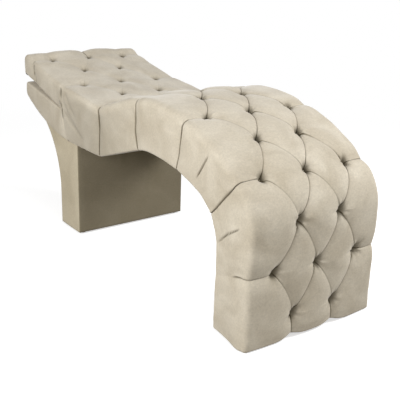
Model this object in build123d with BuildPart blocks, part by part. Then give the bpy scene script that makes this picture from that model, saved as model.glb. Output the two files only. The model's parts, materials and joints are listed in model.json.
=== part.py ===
# Wave-shaped treatment bed with a tufted cover, a foot block, a pedestal and a lifting headrest.
# Millimetres and degrees. +X is the right side seen from the foot, +Y points to the head end, +Z up.
# The origin lies on the floor, under the middle of the bed.

import os
from math import cos, degrees, pi, radians, sin, tan

from build123d import *

os.makedirs("parts", exist_ok=True)

# Whole bed
bed_length = 1775
bed_width = 600
glide_height = 10

# Top line of the side, from the foot face up over the crest and down to the headrest fold
shin_height = 410
shin_radius = 185
shin_turn = 53.5
thigh_radius = 900
seat_radius = 583
seat_slope = 17.2
crease_radius = 60
head_slope = 5.9

# Under line of the side, from the back of the foot over the arch to the head end
foot_depth = 186
calf_height = 296
calf_radius = 200
calf_turn = 69.2
arch_radius = 860
lumbar_radius = 300
lumbar_slope = 18.5
belly_radius = 150
nape_turn = 33

# Headrest, shown a little raised, and the platform that it closes on
headrest_rise = 5
headrest_depth = 109
platform_slope = 10
platform_gap = 1
body_end_setback = 8
headrest_up = 35
fold_setback = 2

# Pedestal under the head section
base_lead = 18
base_depth = 188
base_inset = 13
base_board = 15
base_back_board = 6
flare_height = 160
flare_radius = 400
flare_turn = 65

# Upholstery
pad_depth = 62
side_pad = 10
cloth = 2
platform_cloth = 4
edge_radius = 20
crown = 12
puff = 4
side_draw = 4
column_pitch = 194
toe_row = 88
leg_row_gaps = 6
seat_row_gaps = 3
head_row_gaps = 2
fold_row_setback = 27
stations_per_gap = 4
button_drop = 20
pleat_drop = 9
head_button_drop = 14
head_pleat_drop = 4
pleat_sag = 2
hem_drop = 7
hem_length = 22
hem_fall = 9

# Buttons and their twine
button_radius = 11
button_rim = 2.5
button_dome = 3.5
button_taper = 52
button_sink = 2
pocket_play = 0.5
twine_radius = 1
twine_play = 0.2
knot_radius = 4
knot_depth = 3

# Boards and rails
panel_board = 18
deck_board = 6
lining_board = 4
cross_board = 12
foot_board_depth = 18
rail_width = 45
rail_depth = 25
mount_rail_width = 60
mount_rail_depth = 30
mount_board_depth = 18

# Headrest frame and the foam wedge in the fold
headrest_board_depth = 18
nose_gap = 3
lean_play = 2
soft_gap = 0.4
end_fall = 13
end_round = 26
board_setback = 30
fold_lead = 30
foam_lift = 18
twine_bite = 6

# Hinges at the two ends of the fold
leaf_board = 3
eye_radius = 14
arm_width = 17
arm_length = 100
fixed_arm_length = 82
washer_board = 1.5
washer_radius = 13
hinge_bolt_radius = 4
hinge_play = 0.05
hinge_head_radius = 7
hinge_head_depth = 5
hinge_nut_radius = 7.5
hinge_nut_depth = 6
hinge_bolt_proud = 1
hinge_room = 2.5
notch_reach = 30
screw_radius = 2
screw_length = 15
screw_head_radius = 4
screw_head_depth = 2.2
screw_play = 0.05
screw_pitch = 20
screw_count = 3
first_fixed_screw = 32
first_moving_screw = 42

# Pedestal bolts
bolt_radius = 4
bolt_head_radius = 7.5
bolt_head_depth = 5
bolt_washer_radius = 12
bolt_washer_board = 1.6
bolt_play = 0.3
thread_play = 0.05
tee_flange_radius = 12
tee_flange_board = 1.5
tee_barrel_radius = 5.5
tee_barrel_length = 12
bolt_spread = 400
first_bolt = 60
bolt_pitch = 70

# Glides
foot_glide_radius = 16
foot_glide_inset = 22
foot_board_setback = 14
base_glide_radius = 12
base_glide_inset = 15
glide_recess_radius = 7
glide_recess = 4
glide_screw_radius = 2
glide_screw_length = 14
glide_head_radius = 5
glide_head_depth = 2.5

# One length by which cuts run past what they cut
overrun = 20

# What the straight runs and the last bend of the side lines take of the length left to them
seat_run_share = 0.2466
head_run_share = 0.3537
lumbar_run_share = 0.287
belly_run_share = 0.2168
nape_radius_share = 0.9735

# Places of the rows and of the rails along the under line, and how the headrest's end rounds off, as
# shares
leg_rows_share = 0.69
head_row_share = 0.44
headrest_row_shares = (0.4, 0.78)
lining_rail_shares = (0.08, 0.2, 0.34, 0.46, 0.58)
end_round_shares = ((1, 0), (0.3, 0.3), (0, 1))

half_width = bed_width / 2
inner_half = half_width - side_pad
bay_half = inner_half - panel_board
base_half = half_width - base_inset
base_inner_half = base_half - cloth
base_bay_half = base_inner_half - base_board


# Side lines, each a start, a heading and moves of length and turn

def bend(radius, turn):
    return (radius * radians(abs(turn)), turn)


def line_length(line):
    return sum(length for length, turn in line["moves"])


def walk(line, distance):
    y, z = line["start"]
    heading = radians(line["heading"])
    for length, turn in line["moves"]:
        step = min(distance, length)
        swing = radians(turn) * step / length
        chord = step * sin(swing / 2) / (swing / 2) if swing else step
        y += chord * cos(heading + swing / 2)
        z += chord * sin(heading + swing / 2)
        heading += swing
        distance -= step
        if distance <= 0:
            break
    return y, z, heading


def beside(line, distance, inset):
    # the inset runs into the upholstered body, square to the line
    y, z, heading = walk(line, distance)
    side = line["body_side"] * inset
    return (y - side * sin(heading), z + side * cos(heading))


def station(line, distance, inset=0):
    # plane across the bed: local x is the width, local y points out of the body
    heading = walk(line, distance)[2]
    y, z = beside(line, distance, inset)
    return Plane(
        origin=(0, y, z),
        x_dir=(1, 0, 0),
        z_dir=(0, line["body_side"] * cos(heading), line["body_side"] * sin(heading)),
    )


def trace(line, inset):
    # draws the whole side line inside a line builder
    at = 0
    for length, turn in line["moves"]:
        first = beside(line, at, inset)
        last = beside(line, at + length, inset)
        if turn:
            ThreePointArc(first, beside(line, at + length / 2, inset), last)
        else:
            Line(first, last)
        at += length


foot_bulge = crown + puff * (1 - 2 * button_radius / column_pitch)
foot_face = -bed_length / 2 + foot_bulge
head_end = bed_length / 2
body_end = head_end - body_end_setback
thigh_turn = 90 - shin_turn


def free_length(first_y, bends):
    # what the bends of a side line leave of the bed's length
    line = {"start": (first_y, glide_height), "heading": 90, "moves": bends}
    return head_end - walk(line, line_length(line))[0]


leg_moves = [
    (shin_height, 0),
    bend(shin_radius, -shin_turn),
    bend(thigh_radius, -thigh_turn),
    bend(seat_radius, -seat_slope),
]
crease_bend = bend(crease_radius, seat_slope + head_slope)
top_free = free_length(foot_face, leg_moves + [crease_bend])
head_run = head_run_share * top_free
top_line = {
    "start": (foot_face, glide_height),
    "heading": 90,
    "body_side": -1,
    "moves": leg_moves + [(seat_run_share * top_free, 0), crease_bend, (head_run, 0)],
}

arch_moves = [
    (calf_height, 0),
    bend(calf_radius, -calf_turn),
    bend(arch_radius, calf_turn - 90),
    bend(lumbar_radius, -lumbar_slope),
]
belly_bend = bend(belly_radius, lumbar_slope)
under_free = free_length(foot_face + foot_depth, arch_moves + [belly_bend])
nape_bend = bend(nape_radius_share * under_free, nape_turn)
lumbar_run = lumbar_run_share * under_free
belly_run = belly_run_share * under_free
under_line = {
    "start": (foot_face + foot_depth, glide_height),
    "heading": 90,
    "body_side": 1,
    "moves": arch_moves + [(lumbar_run, 0), belly_bend, (belly_run, 0), nape_bend],
}

top_length = line_length(top_line)
fold_y, fold_z = walk(top_line, top_length)[:2]
crease_at = top_length - head_run - crease_radius * radians(seat_slope + head_slope) / 2
nape_at = line_length(under_line) - nape_bend[0]
base_front = walk(under_line, nape_at)[0] - base_lead

# Hinge axis, at the foot of the fold
pivot_y = fold_y + fold_setback
pivot_z = fold_z - headrest_depth

# Headings of the headrest's top and of its lower face, and its length along the top
lower_heading = radians(platform_slope + headrest_rise)
upper_heading = radians(head_slope + headrest_rise)
lower_length = (head_end - pivot_y) / cos(lower_heading)
headrest_length = lower_length * cos(lower_heading - upper_heading) - headrest_depth * sin(upper_heading)

headrest_line = {
    "start": (pivot_y, fold_z),
    "heading": head_slope + headrest_rise,
    "body_side": -1,
    "moves": [(headrest_length, 0)],
}


def headrest_floor(distance, lift):
    # depth of the lower face, raised by a lift, under a place on the top line
    y, z, heading = walk(headrest_line, distance)
    height = (z - pivot_z) * cos(lower_heading) - (y - pivot_y) * sin(lower_heading)
    return (height - lift) / cos(heading - lower_heading)


def from_pivot(along, lift):
    # a place in the side view, measured along the headrest's lower face and square to it
    y = pivot_y + along * cos(lower_heading) - lift * sin(lower_heading)
    z = pivot_z + along * sin(lower_heading) + lift * cos(lower_heading)
    return (y, z)


def platform_z(y, inset=0):
    slope = radians(platform_slope)
    return pivot_z - (platform_gap + inset) / cos(slope) + (y - pivot_y) * tan(slope)


# Faces in the side view, drawn flat as y and z, and their way into the part

def across(place):
    return Plane.YZ.offset(place)


def crosswise(view, low, high, mode=Mode.ADD):
    # a side view extruded across the bed, from one place to another
    with BuildSketch(across(low)) as side:
        add(view)
    return extrude(side.sketch, amount=high - low, mode=mode)


def body_face(top=0, under=0, fold=0, platform=0, end=0):
    # the fixed body, each boundary moved in by its own inset
    sky = fold_z + bed_width
    far = head_end + bed_width
    beyond = far + overrun
    nose = fold_y - fold
    with BuildSketch() as face:
        with BuildLine():
            trace(top_line, top)
            trace(under_line, under)
            Line(beside(top_line, 0, top), beside(under_line, 0, under))
            Polyline(
                beside(top_line, top_length, top),
                (far, sky),
                beside(under_line, line_length(under_line), under),
            )
        make_face()
        with BuildLine():
            Polyline(
                (nose, platform_z(nose, platform)),
                (nose, sky),
                (beyond, sky),
                (beyond, platform_z(beyond, platform)),
                close=True,
            )
        make_face(mode=Mode.SUBTRACT)
        with Locations((body_end - end, 0)):
            Rectangle(far, far + sky, align=(Align.MIN, Align.CENTER), mode=Mode.SUBTRACT)
    return face.sketch_local


def band(outer, inner):
    # what lies between two sets of insets, where the inner set names only what bounds the band
    proud = dict.fromkeys(("top", "under", "fold", "platform", "end"), -overrun)
    with BuildSketch() as face:
        add(body_face(**outer))
        add(body_face(**(proud | inner)), mode=Mode.SUBTRACT)
    return face.sketch_local


def over_under_line(inset):
    # all that lies over the under line
    sky = fold_z + bed_width
    first = beside(under_line, 0, inset)
    last = beside(under_line, line_length(under_line), inset)
    with BuildSketch() as face:
        with BuildLine():
            trace(under_line, inset)
            Polyline(last, (last[0], sky), (foot_face, sky), (foot_face, first[1]), first)
        make_face()
    return face.sketch_local


def base_face(front=0, back=0, top=0):
    # the pedestal, up to the underside of the body
    first_y = base_front + front
    last_y = base_front + base_depth - back
    flare_z = glide_height + flare_height
    centre_y = last_y + back + flare_radius
    radius = flare_radius + back
    flare = [
        (centre_y - radius * cos(radians(turn)), flare_z + radius * sin(radians(turn)))
        for turn in (0, flare_turn / 2, flare_turn)
    ]
    with BuildSketch() as face:
        with BuildLine():
            ThreePointArc(*flare)
            Polyline(
                flare[-1],
                (flare[-1][0], fold_z),
                (first_y, fold_z),
                (first_y, glide_height),
                (last_y, glide_height),
                flare[0],
            )
        make_face()
        add(over_under_line(-top), mode=Mode.SUBTRACT)
    return face.sketch_local


def finish(builder, label):
    builder.part.label = label
    export_step(builder.part, f"parts/{label}.step")


# Tufting: where the buttons lie, and the section across the pad at any place

def zigzag(row):
    # 0 in a row of two buttons, 1 in a row of three
    return abs((row + 1) % 2 - 1)


def crown_at(x):
    return crown * (1 - (x / half_width) ** 2)


def row_columns(row):
    if row % 2:
        return (-column_pitch, 0, column_pitch)
    return (-column_pitch / 2, column_pitch / 2)


crease_row = leg_row_gaps + seat_row_gaps
fold_row = crease_row + head_row_gaps
fold_row_at = top_length - fold_row_setback

# Rows whose places are set, and these places along the body's top line and along the headrest's
body_marks = (0, leg_row_gaps, crease_row, crease_row + 1, fold_row)
body_places = (
    toe_row,
    toe_row + leg_rows_share * (crease_at - toe_row),
    crease_at,
    crease_at + head_row_share * (fold_row_at - crease_at),
    fold_row_at,
)
headrest_marks = (fold_row, fold_row + 1, fold_row + 2)
headrest_places = (-fold_row_setback, *[share * headrest_length for share in headrest_row_shares])


def between(value, marks, places):
    # follows straight lines through the places that belong to the marks
    index = sum(mark < value for mark in marks[1:-1])
    share = (value - marks[index]) / (marks[index + 1] - marks[index])
    return places[index] + share * (places[index + 1] - places[index])


def row_at(row):
    return between(row, body_marks, body_places)


def headrest_row_at(row):
    return between(row, headrest_marks, headrest_places)


def row_drop(row, button, pleat):
    return pleat + (button - pleat) * (2 * zigzag(row) - 1) ** 2


def pad_section(plane, spread, drop, fall, floor):
    # spread is the zigzag's phase, drop the depth of its valleys, fall lowers the whole crown
    outer = column_pitch / 2 * (1 + spread) + button_radius * (1 - spread)
    inner = column_pitch / 2 * (1 - spread) + button_radius * (2 * spread - 1)
    side = half_width - side_draw * spread ** 2
    shoulder = side - edge_radius
    knee = edge_radius * (1 - cos(pi / 4))
    outer_h = crown_at(outer) - drop - fall
    inner_h = crown_at(inner) - drop - fall
    shoulder_h = -side_draw * spread ** 2 - fall
    lift = puff - fall
    middle = (outer + inner) / 2
    middle_rise = sin(pi / 2 * (outer - inner) / column_pitch)
    middle_low = (outer_h + inner_h) / 2
    middle_h = middle_low + (crown_at(middle) + lift - middle_low) * middle_rise
    centre_rise = sin(pi * inner / column_pitch)
    centre_h = inner_h + (crown_at(0) + lift - inner_h) * centre_rise
    rim = (outer + shoulder) / 2
    rim_low = (outer_h + shoulder_h) / 2
    rim_h = rim_low + (crown_at(rim) + lift - rim_low) * (1 - spread ** 2) - pleat_sag * spread ** 2
    with BuildSketch(plane) as section:
        with BuildLine():
            for sign in (1, -1):
                ThreePointArc(
                    (sign * inner, inner_h), (sign * middle, middle_h), (sign * outer, outer_h)
                )
                ThreePointArc(
                    (sign * outer, outer_h), (sign * rim, rim_h), (sign * shoulder, shoulder_h)
                )
                ThreePointArc(
                    (sign * shoulder, shoulder_h),
                    (sign * (side - knee), shoulder_h - knee),
                    (sign * side, shoulder_h - edge_radius),
                )
                Line((sign * side, shoulder_h - edge_radius), (sign * side, -floor))
            ThreePointArc((-inner, inner_h), (0, centre_h), (inner, inner_h))
            Line((-side, -floor), (side, -floor))
        make_face()
    return section.sketch


def button_seats(line, distance, row, drop, reach):
    # for each button the plane it sits on, local z out of the pad, and its twine's length
    seat = station(line, distance, drop + button_sink)
    seats = []
    for x in row_columns(row):
        origin = seat.origin + seat.x_dir * x + seat.y_dir * crown_at(x)
        plane = Plane(origin=origin, x_dir=seat.x_dir, z_dir=seat.y_dir)
        seats.append((plane, reach + crown_at(x) - drop - button_sink))
    return seats


def body_drop(row):
    return button_drop if row < crease_row else head_button_drop


deck_floor = pad_depth + deck_board
body_seats = [
    seat
    for row in range(fold_row + 1)
    for seat in button_seats(top_line, row_at(row), row, body_drop(row), deck_floor)
]
board_top = cloth + headrest_board_depth
headrest_seats = []
for row in (fold_row + 1, fold_row + 2):
    distance = headrest_row_at(row)
    reach = headrest_floor(distance, board_top - twine_bite)
    headrest_seats += button_seats(headrest_line, distance, row, head_button_drop, reach)


def disc(plane, radius):
    with BuildSketch(plane) as circle:
        Circle(radius)
    return circle.sketch


def rod(plane, radius, amount):
    # a round bar along a plane's normal, kept outside the part in hand
    return extrude(disc(plane, radius), amount=amount, mode=Mode.PRIVATE)


def make_buttons(seats):
    for plane, length in seats:
        extrude(disc(plane, button_radius), amount=button_rim)
        dome = disc(plane.offset(button_rim), button_radius)
        extrude(dome, amount=button_dome, taper=button_taper)


def button_pockets(seats):
    radius = button_radius + pocket_play
    return [rod(plane, radius, button_drop + crown) for plane, length in seats]


def twine_holes(seats, past):
    radius = twine_radius + twine_play
    return [rod(plane, radius, -length - past) for plane, length in seats]


def knot_room():
    radius = knot_radius + twine_play
    return [
        rod(plane.offset(-length), radius, -knot_depth - 2 * twine_play)
        for plane, length in body_seats
    ]


# Planes and cuts shared by the hinges: x is the place across the bed, sign the side

def hinge_plane(x, sign):
    return Plane(origin=(sign * x, pivot_y, pivot_z), x_dir=(0, 1, 0), z_dir=(sign, 0, 0))


hinge_room_radius = eye_radius + hinge_room
leaf_low = bay_half - 2 * leaf_board - washer_board
hinge_low = leaf_low - washer_board - hinge_nut_depth - hinge_room
hinge_high = bay_half + hinge_head_depth + hinge_room


def hinge_wells():
    # round wells about the hinge axis, which nothing but the hinges enters
    depth = hinge_high - hinge_low
    return [rod(hinge_plane(hinge_low, sign), hinge_room_radius, depth) for sign in (-1, 1)]


def hinge_notches():
    # square notches for the eyes and the fixed arms in the boards of the fixed body
    with BuildPart(mode=Mode.PRIVATE) as notches:
        with Locations((0, pivot_y, pivot_z + hinge_room_radius)):
            for low, high in ((-hinge_high, -hinge_low), (hinge_low, hinge_high)):
                with Locations((low, 0, 0)):
                    Box(
                        high - low,
                        2 * hinge_room_radius,
                        hinge_room_radius + notch_reach,
                        align=(Align.MIN, Align.CENTER, Align.MAX),
                    )
    return notches.part


# Foot board, which the pad, the deck and the side panels stand on

foot_board_front = foot_face + foot_board_setback
foot_board_back = foot_face + foot_depth - cloth - lining_board
foot_board_top = glide_height + foot_board_depth


def foot_board_box():
    with BuildPart(mode=Mode.PRIVATE) as board:
        with Locations((0, foot_board_front, foot_board_top)):
            Box(
                2 * inner_half,
                foot_board_back - foot_board_front,
                foot_board_depth,
                align=(Align.CENTER, Align.MIN, Align.MAX),
            )
    return board.part


foot_glide_places = [
    (sign * (inner_half - foot_glide_inset), y)
    for sign in (-1, 1)
    for y in (foot_board_front + foot_glide_inset, foot_board_back - foot_glide_inset)
]
base_glide_places = [
    (sign * (base_half - base_glide_inset - base_board), y)
    for sign in (-1, 1)
    for y in (
        base_front + base_board + base_glide_inset,
        base_front + base_depth - base_back_board - base_glide_inset,
    )
]


def glide_screw_holes(places):
    with BuildPart(mode=Mode.PRIVATE) as holes:
        with Locations(*[(x, y, 0) for x, y in places]):
            Cylinder(
                glide_screw_radius + screw_play,
                glide_height + glide_screw_length,
                align=(Align.CENTER, Align.CENTER, Align.MIN),
            )
    return holes.part


# Places of the bolts that hold the body on the pedestal

bolt_distances = (nape_at + first_bolt, nape_at + first_bolt + bolt_pitch)
lining_top = cloth + lining_board
mount_rail_top = lining_top + mount_rail_depth


def bolt_planes():
    # square to the under line, local z up into the body
    planes = []
    for distance in bolt_distances:
        seat = station(under_line, distance)
        for x in (-bolt_spread / 2, bolt_spread / 2):
            origin = seat.origin + seat.x_dir * x
            planes.append(Plane(origin=origin, x_dir=seat.x_dir, z_dir=-seat.y_dir))
    return planes


def bolt_holes(radius):
    below = mount_board_depth + overrun
    above = mount_rail_top + overrun
    return [rod(plane.offset(-below), radius, below + above) for plane in bolt_planes()]


# Body upholstery

with BuildPart() as body_pad:
    pad_floor = pad_depth + overrun
    hem_middle_drop = (hem_drop + button_drop) / 2
    sections = [
        pad_section(station(top_line, 0), 0, hem_drop, hem_fall, pad_floor),
        pad_section(station(top_line, hem_length), 0, hem_middle_drop, 0, pad_floor),
    ]
    for step in range(fold_row * stations_per_gap + 1):
        row = step / stations_per_gap
        pleat = head_pleat_drop if row > crease_row else pleat_drop
        drop = row_drop(row, body_drop(row), pleat)
        sections.append(pad_section(station(top_line, row_at(row)), zigzag(row), drop, 0, pad_floor))
    last = station(top_line, top_length).offset(-overrun)
    sections.append(pad_section(last, 1, head_button_drop, 0, pad_floor))
    loft(sections, ruled=True)
    inside = body_face(top=pad_depth, under=-overrun)
    crosswise(inside, -bed_width, bed_width, mode=Mode.SUBTRACT)
    with BuildSketch(across(-bed_width)):
        with Locations((fold_y, fold_z)):
            Rectangle(bed_width, bed_width, align=(Align.MIN, Align.CENTER))
    extrude(amount=2 * bed_width, mode=Mode.SUBTRACT)
    add(foot_board_box(), mode=Mode.SUBTRACT)
    add(button_pockets(body_seats), mode=Mode.SUBTRACT)
    add(twine_holes(body_seats, overrun), mode=Mode.SUBTRACT)
finish(body_pad, "body_pad")

with BuildPart() as body_buttons:
    make_buttons(body_seats)
finish(body_buttons, "body_buttons")

with BuildPart() as body_twines:
    for plane, length in body_seats:
        extrude(disc(plane, twine_radius), amount=-length - twine_play)
        extrude(disc(plane.offset(-length - twine_play), knot_radius), amount=-knot_depth)
finish(body_twines, "body_twines")

sides = {"left": -1, "right": 1}
for side, sign in sides.items():
    with BuildPart() as side_upholstery:
        crosswise(body_face(top=pad_depth), sign * inner_half, sign * half_width)
    finish(side_upholstery, f"side_pad_{side}")

with BuildPart() as under_cloth:
    crosswise(band(dict(top=pad_depth), dict(under=cloth)), -inner_half, inner_half)
    add(bolt_holes(bolt_radius + bolt_play), mode=Mode.SUBTRACT)
finish(under_cloth, "under_cloth")

with BuildPart() as platform_cover:
    outer = dict(top=pad_depth, under=cloth)
    inner = dict(fold=cloth, platform=platform_cloth, end=cloth)
    crosswise(band(outer, inner), -inner_half, inner_half)
    add(hinge_notches(), mode=Mode.SUBTRACT)
finish(platform_cover, "platform_cover")


# Frame of the body

nose_inset = cloth + cross_board
platform_inset = platform_cloth + cross_board
core_face = body_face(
    top=deck_floor,
    under=lining_top,
    fold=nose_inset,
    platform=platform_inset,
    end=nose_inset,
)

with BuildPart() as foot_board:
    add(foot_board_box())
    add(glide_screw_holes(foot_glide_places), mode=Mode.SUBTRACT)
finish(foot_board, "foot_board")

with BuildPart() as seat_deck:
    outer = dict(top=pad_depth, fold=cloth)
    crosswise(band(outer, dict(top=deck_floor)), -inner_half, inner_half)
    add(foot_board_box(), mode=Mode.SUBTRACT)
    add(twine_holes(body_seats, overrun), mode=Mode.SUBTRACT)
finish(seat_deck, "seat_deck")

with BuildPart() as under_lining:
    outer = dict(top=deck_floor, under=cloth, end=cloth)
    crosswise(band(outer, dict(under=lining_top)), -inner_half, inner_half)
    add(bolt_holes(bolt_radius + bolt_play), mode=Mode.SUBTRACT)
finish(under_lining, "under_lining")


def side_rods(x, places, radius, depth):
    # bars across the bed at both sides, running outwards from x, or inwards for a negative depth
    return [
        rod(Plane(origin=(sign * x, y, z), x_dir=(0, 1, 0), z_dir=(sign, 0, 0)), radius, depth)
        for sign in sides.values()
        for y, z in places
    ]


fixed_screw_places = [
    (pivot_y, pivot_z - first_fixed_screw - index * screw_pitch) for index in range(screw_count)
]
moving_screw_places = [
    from_pivot(first_moving_screw + index * screw_pitch, cloth + arm_width / 2)
    for index in range(screw_count)
]

for side, sign in sides.items():
    with BuildPart() as side_panel:
        crosswise(core_face, sign * bay_half, sign * inner_half)
        add(foot_board_box(), mode=Mode.SUBTRACT)
        holes = side_rods(bay_half, fixed_screw_places, screw_radius + screw_play, screw_length)
        add(holes, mode=Mode.SUBTRACT)
    finish(side_panel, f"side_panel_{side}")


def rail_face(line, distances, width, depth, skin):
    # rails across the bed, each flat against the inside of a skin
    with BuildSketch() as rails:
        for distance in distances:
            heading = walk(line, distance)[2]
            with Locations(beside(line, distance, skin + depth / 2)):
                Rectangle(width, depth, rotation=degrees(heading))
        add(core_face, mode=Mode.INTERSECT)
    return rails.sketch_local


with BuildPart() as deck_rails:
    distances = [row_at(row + 1 / 2) for row in range(fold_row)]
    rails = rail_face(top_line, distances, rail_width, rail_depth, deck_floor)
    crosswise(rails, -bay_half, bay_half)
finish(deck_rails, "deck_rails")

with BuildPart() as lining_rails:
    distances = [line_length(under_line) * share for share in lining_rail_shares]
    rails = rail_face(under_line, distances, rail_width, rail_depth, lining_top)
    crosswise(rails, -bay_half, bay_half)
finish(lining_rails, "lining_rails")

with BuildPart() as pedestal_rails:
    rails = rail_face(under_line, bolt_distances, mount_rail_width, mount_rail_depth, lining_top)
    crosswise(rails, -bay_half, bay_half)
    add(bolt_holes(bolt_radius + bolt_play), mode=Mode.SUBTRACT)
    tops = [plane.offset(mount_rail_top) for plane in bolt_planes()]
    add([rod(top, tee_barrel_radius, -tee_barrel_length) for top in tops], mode=Mode.SUBTRACT)
finish(pedestal_rails, "pedestal_rails")

nose_y = fold_y - cloth
with BuildPart() as fold_board:
    with BuildSketch() as board:
        with Locations((nose_y, platform_z(nose_y, platform_inset))):
            Rectangle(cross_board, headrest_depth, align=(Align.MAX, Align.MIN))
        add(body_face(top=deck_floor), mode=Mode.INTERSECT)
    crosswise(board.sketch_local, -inner_half, inner_half)
    add(hinge_notches(), mode=Mode.SUBTRACT)
    add(knot_room(), mode=Mode.SUBTRACT)
finish(fold_board, "fold_board")

with BuildPart() as platform_board:
    last_y = body_end - nose_inset
    with BuildSketch() as board:
        with BuildLine():
            Polyline(
                (nose_y, platform_z(nose_y, platform_cloth)),
                (last_y, platform_z(last_y, platform_cloth)),
                (last_y, platform_z(last_y, platform_inset)),
                (nose_y, platform_z(nose_y, platform_inset)),
                close=True,
            )
        make_face()
    crosswise(board.sketch_local, -inner_half, inner_half)
    add(hinge_notches(), mode=Mode.SUBTRACT)
finish(platform_board, "platform_board")

with BuildPart() as head_end_board:
    with BuildSketch() as board:
        with Locations((body_end - cloth, glide_height)):
            Rectangle(cross_board, fold_z, align=(Align.MAX, Align.MIN))
        inside = body_face(under=lining_top, platform=platform_cloth, end=cloth)
        add(inside, mode=Mode.INTERSECT)
    crosswise(board.sketch_local, -inner_half, inner_half)
finish(head_end_board, "head_end_board")


# Pedestal

with BuildPart() as base_cover:
    crosswise(base_face(), -base_half, base_half)
    inside = base_face(front=cloth, back=cloth)
    crosswise(inside, -base_inner_half, base_inner_half, mode=Mode.SUBTRACT)
finish(base_cover, "base_cover")

front_inset = cloth + base_board
back_inset = cloth + base_back_board
base_bay_face = base_face(front=front_inset, back=back_inset)
for side, sign in sides.items():
    with BuildPart() as base_side:
        crosswise(base_bay_face, sign * base_bay_half, sign * base_inner_half)
    finish(base_side, f"base_side_{side}")

with BuildPart() as base_front_board:
    crosswise(base_face(front=cloth, back=cloth), -base_inner_half, base_inner_half)
    behind = base_face(front=front_inset)
    crosswise(behind, -base_inner_half, base_inner_half, mode=Mode.SUBTRACT)
finish(base_front_board, "base_front_board")

with BuildPart() as base_back_panel:
    crosswise(base_face(front=front_inset, back=cloth), -base_inner_half, base_inner_half)
    inside = base_face(back=back_inset)
    crosswise(inside, -base_inner_half, base_inner_half, mode=Mode.SUBTRACT)
finish(base_back_panel, "base_back_panel")

with BuildPart() as base_floor:
    with BuildSketch() as board:
        with Locations((base_front, glide_height)):
            Rectangle(base_depth + flare_radius, base_board, align=(Align.MIN, Align.MIN))
        add(base_bay_face, mode=Mode.INTERSECT)
    crosswise(board.sketch_local, -base_bay_half, base_bay_half)
    add(glide_screw_holes(base_glide_places), mode=Mode.SUBTRACT)
finish(base_floor, "base_floor")

with BuildPart() as base_top_board:
    crosswise(base_bay_face, -base_bay_half, base_bay_half)
    lower = base_face(front=-overrun, back=-overrun, top=mount_board_depth)
    crosswise(lower, -base_bay_half, base_bay_half, mode=Mode.SUBTRACT)
    add(bolt_holes(bolt_radius + bolt_play), mode=Mode.SUBTRACT)
finish(base_top_board, "base_top_board")

with BuildPart() as pedestal_bolts:
    bolt_grip = mount_board_depth + bolt_washer_board
    for plane in bolt_planes():
        seat = plane.offset(-bolt_grip)
        extrude(disc(seat, bolt_radius), amount=bolt_grip + mount_rail_top)
        with BuildSketch(seat):
            RegularPolygon(bolt_head_radius, 6)
        extrude(amount=-bolt_head_depth)
finish(pedestal_bolts, "pedestal_bolts")

with BuildPart() as pedestal_washers:
    for plane in bolt_planes():
        extrude(disc(plane.offset(-mount_board_depth), bolt_washer_radius), amount=-bolt_washer_board)
    add(bolt_holes(bolt_radius + bolt_play), mode=Mode.SUBTRACT)
finish(pedestal_washers, "pedestal_washers")

with BuildPart() as tee_nuts:
    for plane in bolt_planes():
        seat = plane.offset(mount_rail_top)
        extrude(disc(seat, tee_flange_radius), amount=tee_flange_board)
        extrude(disc(seat, tee_barrel_radius), amount=-tee_barrel_length)
    add(bolt_holes(bolt_radius + thread_play), mode=Mode.SUBTRACT)
finish(tee_nuts, "tee_nuts")


# Glides and their screws

on_floor = (Align.CENTER, Align.CENTER, Align.MIN)


def make_glides(places, radius):
    with Locations(*[(x, y, 0) for x, y in places]):
        Cylinder(radius, glide_height, align=on_floor)
        Cylinder(glide_recess_radius, glide_recess, align=on_floor, mode=Mode.SUBTRACT)
        hole = glide_screw_radius + screw_play
        Cylinder(hole, glide_height, align=on_floor, mode=Mode.SUBTRACT)


with BuildPart() as foot_glides:
    make_glides(foot_glide_places, foot_glide_radius)
finish(foot_glides, "foot_glides")

with BuildPart() as base_glides:
    make_glides(base_glide_places, base_glide_radius)
finish(base_glides, "base_glides")

with BuildPart() as glide_screws:
    shank = glide_height - glide_recess + glide_screw_length
    with Locations(*[(x, y, glide_recess) for x, y in foot_glide_places + base_glide_places]):
        Cylinder(glide_head_radius, glide_head_depth, align=(Align.CENTER, Align.CENTER, Align.MAX))
        Cylinder(glide_screw_radius, shank, align=on_floor)
finish(glide_screws, "glide_screws")


# Headrest, cut off at its inner end by a leaning plane that clears the fold when it is raised

lean_heading = radians(90 - headrest_up - lean_play)


def lean_at(z, setback=0):
    # where the leaning plane stands at a height, moved towards the foot by a setback
    y0, z0 = from_pivot(nose_gap, 0)
    return y0 + (z - z0) / tan(lean_heading) - setback / sin(lean_heading)


def foot_side(setback=0):
    # the side view of everything on the foot side of the leaning plane
    low = pivot_z - bed_width
    high = pivot_z + bed_width
    first = lean_at(low, setback) - bed_width
    with BuildSketch() as face:
        with BuildLine():
            Polyline(
                (first, low),
                (lean_at(low, setback), low),
                (lean_at(high, setback), high),
                (first, high),
                close=True,
            )
        make_face()
    return face.sketch_local


def slab_face(start, length, low, high):
    # a slab along the headrest's lower face, between two lifts
    with BuildSketch() as face:
        with BuildLine():
            Polyline(
                from_pivot(start, low),
                from_pivot(length, low),
                from_pivot(length, high),
                from_pivot(start, high),
                close=True,
            )
        make_face()
    return face.sketch_local


def cut_lean():
    crosswise(foot_side(), -half_width, half_width, mode=Mode.SUBTRACT)


def headrest_section(distance, fall_share):
    row = min(between(distance, headrest_places, headrest_marks), fold_row + 2)
    drop = row_drop(row, head_button_drop, head_pleat_drop) * (1 - fall_share / 2)
    floor = headrest_floor(distance, cloth)
    return pad_section(station(headrest_line, distance), zigzag(row), drop, end_fall * fall_share, floor)


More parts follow.
